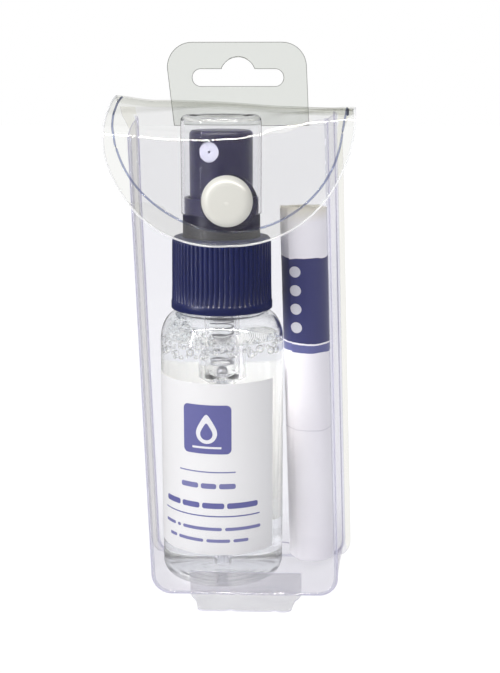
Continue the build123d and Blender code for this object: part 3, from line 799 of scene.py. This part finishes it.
def make_flap():
    """Flap in two pieces that meet at a seam, shaped over the back's fold and the front's bend, with
    beads and cut edges.
    """
    films = [FLAP_CLEAR, RIM_CLEAR, FLAP_FLANGE]

    def past_bead(point):
        out = math.hypot(point[0] - FLAP_X, point[2] - LOBE_CENTRE_Z)
        low = point[2] < LOBE_CENTRE_Z - 18
        return 2 if low and out > LOBE_RADIUS - BEAD_INSET else 0

    back_rows = [lerp(0, SEAM, k / 26) for k in range(27)]
    front_rows = [lerp(SEAM, 1, k / 110) for k in range(111)]
    back = film("flap_back", flap_sheet, FLAP_COLUMNS, back_rows, films, seams=("v1",))
    front = film("flap_front", flap_sheet, FLAP_COLUMNS, front_rows, films, seams=("v0",),
                 pick=past_bead)
    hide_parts("flap_top")
    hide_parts("flap_lobe")
    beads = []
    for label, sign in (("left", -1), ("right", 1)):
        points, faces = bead_path(sign, 0.12, SEAM, 16)
        beads.append(tube("flap_bead_" + label, points, 0.5, 0.45, [BEAD_CLEAR], faces))
        rim = rim_path(sign, 0.0, SEAM, 20)
        beads.append(tube("flap_rim_" + label, rim, 0.5, 0.5, [RIM_CLEAR], (sign, 0, 0.1)))
    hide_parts("flap_top_weld")
    limit = 1 - LOBE_SHARE
    left, left_faces = bead_path(-1, SEAM, limit, 22)
    right, right_faces = bead_path(1, SEAM, limit, 22)
    lobe, lobe_faces = bead_round_lobe(90)
    bead_front = tube("flap_bead_front", left + lobe + right[::-1], 0.5, 0.45, [BEAD_CLEAR],
                      left_faces + lobe_faces + right_faces[::-1])
    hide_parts("flap_lobe_weld")
    rim = rim_path(-1, SEAM, 1, 90) + rim_path(1, SEAM, 1, 90)[::-1]
    rim_front = tube("flap_rim_front", rim, 0.5, 0.5, [RIM_CLEAR], (0, -1, -0.3))
    for piece in (back, *beads):
        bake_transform(piece)
    for piece in (front, bead_front, rim_front):
        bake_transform(piece)
    for piece in (back, front, *beads, bead_front, rim_front):
        piece.visible_shadow = False


TAB_HALF = 17.0
TAB_X = 1.5                     # its middle, before the lean
TAB_CORNER = 6.0
TAB_FREE = 117.6                # height above which it may curl
SLOT_LOW, SLOT_HIGH = 120.5, 124.6
SLOT_HALF = 11.1
SLOT_HUMP = 4.3                 # radius of the round rise in the middle of the slot


def cut_sheet(name, outlines, thick):
    """Flat mesh from outlines (x, z), with rounded edges; the second outline is a hole."""
    edge = thick / 2 - 0.02
    curve = bpy.data.curves.new(name, "CURVE")
    curve.dimensions = "2D"
    curve.fill_mode = "BOTH"
    curve.extrude = (thick / 2 - edge) * MM
    curve.bevel_depth = edge * MM
    curve.offset = -edge * MM
    curve.bevel_resolution = 2
    for outline in outlines:
        line = curve.splines.new("POLY")
        line.points.add(len(outline) - 1)
        for point, (x, z) in zip(line.points, outline):
            point.co = (x * MM, z * MM, 0, 1)
        line.use_cyclic_u = True
    holder = put(name, curve)
    bpy.context.view_layer.update()
    mesh = bpy.data.meshes.new_from_object(holder)
    bpy.data.objects.remove(holder)
    return mesh


def make_tab():
    """Hang tab with its slot, cut from one sheet, with rows of edges where it bends."""
    low, high = node_box("hang_tab")
    foot_z = node_box("hang_tab_foot")[0].z
    foot_x = TAB_X + LEAN * foot_z
    top_x = TAB_X + LEAN * high.z
    top_z = high.z - TAB_CORNER
    outline = [(foot_x - TAB_HALF + 0.9, foot_z), (foot_x + TAB_HALF, foot_z)]
    outline += arc((top_x + TAB_HALF - TAB_CORNER, top_z), TAB_CORNER, 0, 90, 12)
    outline += arc((top_x - TAB_HALF + TAB_CORNER, top_z), TAB_CORNER, 90, 180, 12)
    slot_z = (SLOT_LOW + SLOT_HIGH) / 2
    slot_x = TAB_X + LEAN * slot_z
    end = (SLOT_HIGH - SLOT_LOW) / 2
    hump_drop = 1.5
    side_turn = math.degrees(math.asin(hump_drop / SLOT_HUMP))
    hole = arc((slot_x - SLOT_HALF + end, slot_z), end, 90, 270, 14)
    hole += arc((slot_x + SLOT_HALF - end, slot_z), end, -90, 90, 14)
    hole += arc((slot_x, SLOT_HIGH - hump_drop), SLOT_HUMP, side_turn, 180 - side_turn, 22)
    mesh = cut_sheet("tab_outline", (outline, hole), high.y - low.y)
    bm = bmesh.new()
    bm.from_mesh(mesh)
    bmesh.ops.remove_doubles(bm, verts=bm.verts, dist=0.000001)
    heights = [foot_z + 1.5 * k for k in range(1, 4)] + [116.6 + 0.2 * k for k in range(8)]
    heights += [118.6 + 1.2 * k for k in range(10)]
    planes = [((0, z * MM, 0), (0, 1, 0)) for z in heights]
    planes += [(((slot_x + 2.2 * k) * MM, 0, 0), (1, 0, 0)) for k in range(-7, 8)]
    for place, normal in planes:
        bmesh.ops.bisect_plane(bm, geom=bm.verts[:] + bm.edges[:] + bm.faces[:],
                               plane_co=place, plane_no=normal)
    middle = (low.y + high.y) / 2
    for vert in bm.verts:
        x, up, deep = vert.co
        z = up / MM
        curl = 0.9 * (smooth(118, 131, z) ** 2) + 0.25 * ((x / MM - slot_x) / TAB_HALF) ** 2
        swell = 0.12 * wave(x / MM, 0, z, 14, 9.1) * smooth(TAB_FREE, 121, z)
        vert.co = (x, (middle - deep / MM + curl * smooth(TAB_FREE, 120, z) + swell) * MM, up)
    bm.normal_update()
    bm.to_mesh(mesh)
    bm.free()
    mesh.materials.append(TAB_CLEAR)
    mesh.materials.append(TAB_EDGE)
    for face in mesh.polygons:
        face.material_index = 1 if abs(face.normal.y) < 0.93 else 0
        face.use_smooth = True
    mesh.set_sharp_from_angle(angle=math.radians(25))
    mesh.name = "tab_sheet"
    tab = put("tab_sheet", mesh)
    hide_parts("hang_tab", "hang_tab_foot")
    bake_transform(tab)
    tab.visible_shadow = False


# --- bottle, liquid and foam ---
WALL = 0.7
FOOT = 2.8                      # radius of the base's edge
SHOULDER_LOW = 60.0
SHOULDER_HIGH = 67.3
SHOULDER_INNER = 10.1           # radius where the shoulder meets the neck
NECK_RADIUS = 9.2
NECK_WALL = 1.8
THREAD_RADIUS = 9.85
THREAD_PITCH = 3.2
LIQUID_TOP = 61.0
LIQUID_OVERLAP = 0.06           # how far the liquid runs into the wall, so that no gap shows


def bottle_side(shrink, top_height=BOTTLE_HIGH.z):
    """Side of the bottle's profile from the base edge to a height, moved in by a distance."""
    wall = BOTTLE_RADIUS - shrink
    base = BOTTLE_LOW.z + shrink
    foot = FOOT - shrink
    points = arc((wall - foot, base + foot), foot, -90, 0, 10)
    points += [(wall, lerp(base + foot, SHOULDER_LOW, k / 12)) for k in range(1, 12)]
    rise = SHOULDER_HIGH - shrink - SHOULDER_LOW
    reach = wall - SHOULDER_INNER
    points += [(SHOULDER_INNER + reach * math.cos(t), SHOULDER_LOW + rise * math.sin(t))
               for t in (math.radians(90 * k / 14) for k in range(15))]
    return [p for p in points if p[1] <= top_height]


def base_rings(shrink):
    """Underside of the bottle: a shallow push-up with moulded rings."""
    reach = BOTTLE_RADIUS - FOOT
    rows = []
    for k in range(30):
        share = k / 30
        push = 0.9 * (1 - smooth(0.2, 0.95, share))
        ring = 0.10 * math.sin(reach * share * 3.1) * smooth(0.15, 0.3, share)
        ring *= 1 - smooth(0.85, 1, share)
        rows.append((reach * share, BOTTLE_LOW.z + shrink + push + ring))
    return rows


def make_bottle():
    neck_inner = NECK_RADIUS - NECK_WALL
    outer = base_rings(0) + bottle_side(0)
    outer += [(NECK_RADIUS + 0.5, SHOULDER_HIGH + 0.15), (NECK_RADIUS, SHOULDER_HIGH + 0.7)]
    for turn in range(3):
        low = SHOULDER_HIGH + 4 + THREAD_PITCH * turn
        outer += [(NECK_RADIUS, low), (THREAD_RADIUS, low + 0.5), (THREAD_RADIUS, low + 0.9),
                  (NECK_RADIUS, low + 1.4)]
    outer += [(NECK_RADIUS, BOTTLE_HIGH.z), (neck_inner, BOTTLE_HIGH.z)]
    inner = base_rings(WALL) + bottle_side(WALL) + [(neck_inner, SHOULDER_HIGH + 0.6)]
    bottle = lathe("bottle_shell", outer + inner[::-1], [PET])
    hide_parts("bottle")
    inset = WALL - LIQUID_OVERLAP
    shell = base_rings(inset) + bottle_side(inset, LIQUID_TOP)
    edge = shell[-1][0]
    # Radius of the surface and its height over the liquid's top: it climbs the wall and the pump.
    surface = ((edge - 0.05, 0.25), (edge - 0.5, 0.02), (edge - 1.6, -0.12), (5.4, -0.12),
               (4.75, 0.05), (4.35, 0.35))
    # Round the pump's housing and the dip tube.
    bore = [(4.32, 51.2), (2.37, 49.6), (2.37, 46.2), (1.57, 45.6), (1.57, 3.0), (0, 2.95)]
    top = [(radius, LIQUID_TOP + rise) for radius, rise in surface]
    liquid = lathe("liquid_fill", shell + top + bore, [LIQUID])
    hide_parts("liquid")
    for piece in (bottle, liquid):
        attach(piece, "pouch")
        piece.visible_shadow = False


def spheres(name, balls, materials, detail=3):
    """One object of many small round bubbles, each (centre, radius, flattening)."""
    bm = bmesh.new()
    bmesh.ops.create_icosphere(bm, subdivisions=detail, radius=1)
    unit = np.array([v.co for v in bm.verts])
    faces_unit = [tuple(v.index for v in f.verts) for f in bm.faces]
    bm.free()
    points = []
    faces = []
    for centre, radius, flat in balls:
        base = len(points)
        points += (unit * (radius, radius, radius * flat) + np.array(centre)).tolist()
        faces += [tuple(i + base for i in f) for f in faces_unit]
    return make(name, points, faces, materials, sharp=180)


def settle(balls, turn, reach, z, radius, near, flat):
    """Add a bubble at a turn and reach about the bottle's axis, unless it cuts too far into another."""
    here = (BOTTLE_X + reach * math.sin(turn), -reach * math.cos(turn), z)
    if all(sum((a - b) ** 2 for a, b in zip(here, centre)) >= (near * (radius + other)) ** 2
           for centre, other, _ in balls):
        balls.append((here, radius, flat))


def make_foam():
    """Bubbles under the liquid's surface along the wall, and foam on it, thick on the left."""
    draw = random.Random(41)
    under = []
    above = []
    inner = BOTTLE_RADIUS - WALL
    for k in range(260):
        turn = math.radians(draw.uniform(-110, 110) - 8)
        left = smooth(20, -60, math.degrees(turn))
        radius = draw.uniform(0.28, 0.62) if draw.random() < 0.8 else draw.uniform(0.7, 1.1)
        z = LIQUID_TOP - radius - 0.2 - draw.random() ** 1.6 * lerp(1.6, 3.4, left)
        reach = inner - radius - 0.12 - draw.random() ** 2 * 2.4
        settle(under, turn, reach, z, radius, near=0.94, flat=0.94)
    shoulder_rise = SHOULDER_HIGH - WALL - SHOULDER_LOW
    for k in range(900):
        turn = math.radians(draw.uniform(-120, 120) - 20)
        left = smooth(25, -70, math.degrees(turn))
        radius = draw.uniform(0.22, 0.7)
        if draw.random() > 0.10 + 0.9 * left:
            continue
        z = LIQUID_TOP + radius * 0.6 + draw.random() ** 1.3 * 5.0 * left
        climb = max(0.0, z - SHOULDER_LOW) / shoulder_rise
        wall = lerp(SHOULDER_INNER, inner, math.sqrt(max(0.0, 1 - climb ** 2)))
        reach = wall - radius - 0.15 - draw.random() ** 2 * 2.0
        settle(above, turn, reach, z, radius, near=0.9, flat=0.95)
    bubbles = spheres("bubbles", under, [BUBBLE])
    foam = spheres("foam", above, [FOAM])
    for piece in (bubbles, foam):
        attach(piece, "pouch")
        piece.visible_shadow = False


# --- return spring ---
SPRING_LOW, SPRING_HIGH = node_box("return_spring")
SPRING_WIRE = 0.5
SPRING_TURNS = 8.4
SPRING_CLOSED = 1.2             # of them, closed turns at each end


def make_spring():
    """Compression spring under the piston, with closed ends."""
    radius = (SPRING_HIGH.x - SPRING_LOW.x - SPRING_WIRE) / 2
    low = SPRING_LOW.z + SPRING_WIRE / 2
    high = SPRING_HIGH.z - SPRING_WIRE / 2
    closed = SPRING_CLOSED
    closed_rise = closed * SPRING_WIRE * 1.06
    steps = int(SPRING_TURNS * 28)
    path = []
    for k in range(steps + 1):
        turn = SPRING_TURNS * k / steps
        if turn < closed:
            z = low + closed_rise * turn / closed
        elif turn > SPRING_TURNS - closed:
            z = high - closed_rise * (SPRING_TURNS - turn) / closed
        else:
            share = (turn - closed) / (SPRING_TURNS - 2 * closed)
            z = lerp(low + closed_rise, high - closed_rise, share)
        angle = 2 * math.pi * turn
        path.append((BOTTLE_X + radius * math.cos(angle), radius * math.sin(angle), z))
    coil = tube("spring_coil", path, SPRING_WIRE, SPRING_WIRE, [SPRING_STEEL], (0, 0, 1), sides=8)
    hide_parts("return_spring")
    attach(coil, "pump")
    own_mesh(coil)


# --- ribbed collar ---
COLLAR_LOW, COLLAR_HIGH = node_box("collar")
RIB_COUNT = 60
RIB_STEPS = 8                   # points round the collar for each rib
RIB_DEPTH = 0.34
BAND = 2.1                      # height of the smooth band
SHOULDER = 11.95                # radius at the top of the ribs


def make_collar():
    """Screw closure: ribs on a slightly tapered skirt, over a smooth band, with a flat top."""
    low = COLLAR_LOW.z
    high = COLLAR_HIGH.z
    foot = (COLLAR_HIGH.x - COLLAR_LOW.x) / 2
    band = low + BAND
    profile = (
        # radius, height, depth of the ribs there
        (10.25, low + 0.3, 0), (10.45, low, 0), (foot - 0.25, low, 0), (foot, low + 0.25, 0),
        (foot, band - 0.35, 0), (foot - 0.12, band, 0), (foot - 0.15, band + 0.25, RIB_DEPTH),
        (foot - 0.25, band + 4, RIB_DEPTH), (lerp(SHOULDER, foot - 0.2, 0.4), band + 9, RIB_DEPTH),
        (SHOULDER, high - 1.7, RIB_DEPTH), (SHOULDER - 0.02, high - 1.1, 0.3),
        (SHOULDER - 0.2, high - 0.55, 0.12), (SHOULDER - 0.55, high - 0.15, 0),
        (SHOULDER - 1.0, high, 0), (9.45, high, 0), (9.42, high - 1.45, 0), (10.25, high - 1.45, 0),
    )
    segments = RIB_COUNT * RIB_STEPS
    points = []
    for radius, height, depth in profile:
        for i in range(segments):
            phase = (i % RIB_STEPS) / RIB_STEPS
            reach = radius - depth * abs(2 * phase - 1) ** 3
            turn = 2 * math.pi * i / segments
            points.append((BOTTLE_X + reach * math.cos(turn), reach * math.sin(turn), height))
    rings = [range(j * segments, (j + 1) * segments) for j in range(len(profile))]
    collar = make("collar_skirt", points, skin(rings + rings[:1]), [NAVY], sharp=50)
    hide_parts("collar")
    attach(collar, "collar")


# --- overcap ---
CAP_WALL = 0.65
CAP_EDGE = 1.5                  # radius of its top edge
CAP_FILLET = 0.8                # inside that edge
# Radius and depth of a ring and a gate mark sunk in its top.
CAP_RELIEF = ((7.0, 0), (6.7, 0.28), (6.0, 0.28), (5.7, 0), (2.0, 0), (1.7, 0.3), (0.7, 0.3),
              (0.5, 0.05), (0, 0.05))


def make_overcap():
    """Clear overcap, with a moulded ring and a gate mark sunk in its top."""
    low_corner, high_corner = node_box("overcap")
    radius = (high_corner.x - low_corner.x) / 2
    inner = radius - CAP_WALL
    low = low_corner.z
    top = high_corner.z
    roof = top - CAP_WALL
    profile = [(0, roof), (inner - CAP_FILLET, roof), (inner, roof - CAP_FILLET), (inner, low)]
    profile += [(radius, low)] + arc((radius - CAP_EDGE, top - CAP_EDGE), CAP_EDGE, 0, 90, 10)
    profile += [(reach, top - depth) for reach, depth in CAP_RELIEF]
    cap = lathe("overcap_shell", profile, [OVERCAP, OVERCAP_CROWN])
    for face in cap.data.polygons:
        face.material_index = 1 if face.center.z > (top - CAP_EDGE) * MM else 0
    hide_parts("overcap")
    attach(cap, "pump")
    cap.visible_shadow = False


# --- label print ---
PRINT_TURN = -11.2              # middle of the print, in degrees from the front towards +X
PRINT_RADIUS = BOTTLE_RADIUS + 0.1
PRINT_THICK = 0.02
BAR_STEP = 0.6                  # width of a bar's faces, about


def on_label(s, z, lift):
    """Point on the label at a distance s round from the middle of the print."""
    turn = math.radians(PRINT_TURN) + s / PRINT_RADIUS
    reach = PRINT_RADIUS + lift
    return (BOTTLE_X + reach * math.sin(turn), -reach * math.cos(turn), z)


def patch(name, left, right, low, high, material, lift=0.02, corner=0.0):
    """Printed bar, with rounded corners where it has any."""
    wide = right - left

    def place(u, v):
        s = lerp(left, right, u)
        inset = min(s - left, right - s)
        cut = corner_cut(corner, inset) if inset < corner else 0.0
        return on_label(s, lerp(low + cut, high - cut, v), lift)

    columns = max(3, int(wide / BAR_STEP))
    if corner:
        ends = [corner * (1 - math.cos(math.radians(90 * k / 6))) / wide for k in range(6)]
        inner = np.linspace(corner / wide, 1 - corner / wide, columns).tolist()
        columns = ends + inner + [1 - e for e in ends[::-1]]
    return film(name, place, columns, 3, [material], thick=PRINT_THICK)


def blob(name, middle, reach, material, lift=0.05):
    """Printed shape about its middle (s, z); reach gives its outline for a turn."""

    def place(u, v):
        ds, dz = reach(2 * math.pi * u)
        share = max(v, 0.02)
        return on_label(middle[0] + ds * share, middle[1] + dz * share, lift)

    return film(name, place, 72, 5, [material], thick=PRINT_THICK)


def drop_outline(size):
    """Outline of a drop, as a function of the turn."""

    def reach(turn):
        swell = math.sin(turn)
        point = max(0.0, math.cos(turn)) ** 3
        return (size * swell * (1 - 0.35 * point), size * (math.cos(turn) + 0.75 * point))

    return reach


def make_label_print():
    """A generic mark of a drop in a square, over bars that stand for lines of print."""
    pieces = [
        patch("mark_field", -6.0, 6.0, 35.0, 47.0, INK, corner=1.2),
        blob("mark_drop", (0.0, 40.1), drop_outline(2.6), INK_WHITE),
        blob("mark_drop_core", (0.0, 39.9), drop_outline(1.5), INK, lift=0.08),
        patch("mark_base", -3.6, 3.6, 36.3, 36.8, INK_WHITE, lift=0.05),
    ]
    rows = (
        # low, high, bars (left, right), material
        (30.3, 30.6, ((-7.4, 7.0),), INK_SOFT),
        (26.3, 27.6, ((-6.9, -2.2), (-1.5, 2.3), (3.0, 7.0)), INK_SOFT),
        (21.3, 22.7, ((-12.6, -7.4), (-6.7, -1.9), (-1.2, 4.2), (4.9, 12.8)), INK),
        (19.2, 19.5, ((-13.4, 13.4),), INK),
        (15.7, 16.5, ((-13.2, -9.2), (-8.4, -7.4), (-6.6, 3.6), (4.4, 13.6)), INK_SOFT),
        (12.7, 13.5, ((-11.4, -8.8), (-8.0, -1.0), (-0.2, 5.6), (6.4, 10.2)), INK_SOFT),
    )
    for row, (low, high, bars, material) in enumerate(rows):
        for column, (left, right) in enumerate(bars):
            corner = min(0.5, (high - low) * 0.45)
            pieces.append(patch(f"print_bar_{row}_{column}", left, right, low, high, material,
                                corner=corner))
    for piece in pieces:
        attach(piece, "pouch")


# --- cloth ---
CLOTH_LENGTH = 150.0
CLOTH_X, CLOTH_Y = 16.4, 6.0    # the roll's axis, before the lean
CLOTH_OUT = 6.05                # outer radius of the roll
CLOTH_PITCH = 0.66              # step of the spiral for the doubled cloth
CLOTH_THICK = 0.24
CLOTH_LAYER = 0.155             # half the distance between the middles of the two layers
CLOTH_FREE_END = -35            # where the roll's free end lies, in degrees from the front


def make_cloth():
    """Cloth folded in half along its length and rolled up; the fold is at the bottom."""
    low = CLOTH_LOW.z + 0.3
    high = CLOTH_HIGH.z - 0.4
    inner = math.sqrt(CLOTH_OUT ** 2 - CLOTH_PITCH * CLOTH_LENGTH / math.pi)
    turns = (CLOTH_OUT - inner) / CLOTH_PITCH
    free_end = math.radians(CLOTH_FREE_END)

    def place(u, v):
        height_share = abs(2 * v - 1)
        layer = 1 if v < 0.5 else -1
        radius = CLOTH_OUT - (CLOTH_OUT - inner) * u - 0.16
        turn = free_end + 2 * math.pi * turns * u
        z = lerp(low, high, height_share)
        fold = math.sqrt(max(0.0, 1 - max(0.0, 1 - (z - low) / 0.16) ** 2))
        radius += layer * CLOTH_LAYER * fold
        ragged = smooth(0.9, 1.0, height_share)
        z += ragged * (0.35 * wave(turn * 2, u * 20, layer, 1.0, 8.8) - 0.35)
        loose = 1 - smooth(0, 0.03, u)
        radius += 0.28 * loose * smooth(60, 90, z) + 0.05 * wave(turn * 3, z / 3, 0, 2.0, 6.1)
        return (CLOTH_X + LEAN * z + radius * math.sin(turn), CLOTH_Y - radius * math.cos(turn), z)

    half_rows = [1.0, 0.985, 0.97, 0.95, 0.92]
    half_rows += [lerp(0.9, 0.012, k / 26) for k in range(27)]
    half_rows += [0.006, 0.003, 0.0012, 0.0004]
    rows = [(1 - h) / 2 for h in half_rows] + [0.5] + [(1 + h) / 2 for h in half_rows[::-1]]
    cloth = film("cloth_sheet", place, 300, rows, [MICROFIBRE], thick=CLOTH_THICK)
    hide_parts("cloth_roll")
    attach(cloth, "pouch")


# --- materials of the CAD nodes that stay ---
KEPT = {
    "bottle_label": PAPER,
    "turret": NAVY_PUMP,
    "actuator": NAVY_PUMP,
    "nozzle_insert": LILAC,
    "snap_cap": CREAM,
    "snap_stud_rivet": CREAM,
    "snap_stud": SOCKET,
    "snap_socket": SOCKET,
    "neck_gasket": SEAL,
    "stem_seal": SEAL,
    "pump_housing": HOUSING,
    "dip_tube": NATURAL,
    "piston": NATURAL,
    "piston_stem": NATURAL,
    "inlet_ball": SPRING_STEEL,
}


def dress_nodes():
    """Give the CAD nodes that are shown as they are their materials."""
    for name, material in KEPT.items():
        mesh = NODES[name].data
        mesh.materials.clear()
        mesh.materials.append(material)
    for name in ("pump_housing", "dip_tube", "snap_stud", "snap_socket"):
        NODES[name].visible_shadow = False


# --- studio ---
FLOOR_GLOW = 1.0


FLOOR_MIRRORED = 0.05           # glow of the floor where it is seen mirrored
FLOOR_HALF = 3000
FLOOR_Z = -0.05


def make_floor():
    """White floor that the object stands on."""
    n = Nodes("studio_floor")
    path = n.add("LightPath").outputs
    mirrored = n.times(path["Is Glossy Ray"], n.math("SUBTRACT", 1.0, path["Is Transmission Ray"]))
    strength = n.scaled(mirrored, FLOOR_MIRRORED - FLOOR_GLOW, FLOOR_GLOW)
    glow = n.add("Emission", {"Color": (1, 1, 1, 1), "Strength": strength}).outputs[0]
    body = n.shader("Diffuse", {"Color": (0.04, 0.04, 0.04, 1)})
    material = n.finish(n.add("AddShader", {0: glow, 1: body}).outputs[0])
    corners = [(x * FLOOR_HALF, y * FLOOR_HALF, FLOOR_Z)
               for x, y in ((-1, -1), (1, -1), (1, 1), (-1, 1))]
    make("studio_floor", corners, [(0, 1, 2, 3)], [material])


# Strength in the middle, its change along each axis, and colour: first for what lights the object,
# then for each kind of ray in turn.
WORLD_LIGHT = (0.67, (-0.09, 0.02, 0.10), (0.985, 0.99, 1.0))
WORLD_SEEN = {
    "Is Glossy Ray": (0.19, (-0.12, 0.12, 0.14), (0.97, 0.98, 1.0)),
    "Is Transmission Ray": (0.89, (-0.08, 0.14, 0.04), (1.0, 1.0, 1.0)),
    "Is Camera Ray": (1.0, (0, 0, 0), (1, 1, 1)),
}


def make_world():
    """White behind the object and seen through glass; uneven for its light and for its gloss."""
    n = Nodes("studio", "World")
    axes = n.axes(n.add("TexCoord").outputs["Generated"])
    path = n.add("LightPath").outputs

    def gradient(strength, changes, colour):
        for axis, change in zip("XYZ", changes):
            strength = n.scaled(axes[axis], change, strength)
        return n.add("Background", {"Color": (*colour, 1), "Strength": strength}).outputs[0]

    seen = gradient(*WORLD_LIGHT)
    for ray, look in WORLD_SEEN.items():
        seen = n.blend(path[ray], seen, gradient(*look))
    bpy.context.scene.world = n.finish(seen)


def softbox(name, place, target, wide, high, power, colour=(1, 1, 1), mirrored=False):
    """Lamp that either lights the object or only shows mirrored in its gloss."""
    data = bpy.data.lights.new(name, "AREA")
    data.shape = "RECTANGLE"
    data.size = wide
    data.size_y = high
    data.energy = power
    data.color = colour
    light = put(name, data)
    light.location = place
    light.rotation_mode = "QUATERNION"
    light.rotation_quaternion = (Vector(target) - Vector(place)).to_track_quat("-Z", "Y")
    light.visible_glossy = mirrored
    light.visible_diffuse = not mirrored
    light.visible_transmission = not mirrored


def make_camera():
    data = bpy.data.cameras.new("camera")
    data.lens = 64.19
    data.sensor_width = 36
    data.clip_start = 0.01
    data.clip_end = 20
    camera = put("camera", data)
    camera.location = (0.0116, -0.2875, 0.1220)
    camera.rotation_euler = (math.radians(90 - 12.07), 0, math.radians(2.2))
    bpy.context.scene.camera = camera


def make_studio():
    make_floor()
    make_world()
    softbox("key", (-0.46, -0.54, 0.46), (0, 0, 0.06), 0.45, 0.55, 3.1, (1.0, 0.985, 0.96))
    softbox("top", (0.05, 0.05, 0.75), (0, 0, 0.06), 0.5, 0.5, 1.2)
    softbox("strip_high", (0.0, -0.42, 0.62), (0, 0, 0.10), 1.6, 0.045, 20.0, (1.0, 0.95, 0.87),
            mirrored=True)
    softbox("strip_left", (-0.50, -0.34, 0.20), (0, 0, 0.08), 0.05, 0.40, 1.6, (0.97, 0.98, 1.0),
            mirrored=True)
    scene = bpy.context.scene
    scene.view_settings.view_transform = "Standard"
    scene.cycles.max_bounces = 28
    scene.cycles.transmission_bounces = 24
    scene.cycles.transparent_max_bounces = 48
    scene.cycles.glossy_bounces = 6
    scene.cycles.diffuse_bounces = 4
    scene.cycles.caustics_reflective = False


make_camera()
make_pouch()
make_flap()
make_tab()
make_bottle()
make_foam()
make_spring()
make_collar()
make_overcap()
make_label_print()
make_cloth()
dress_nodes()
make_studio()
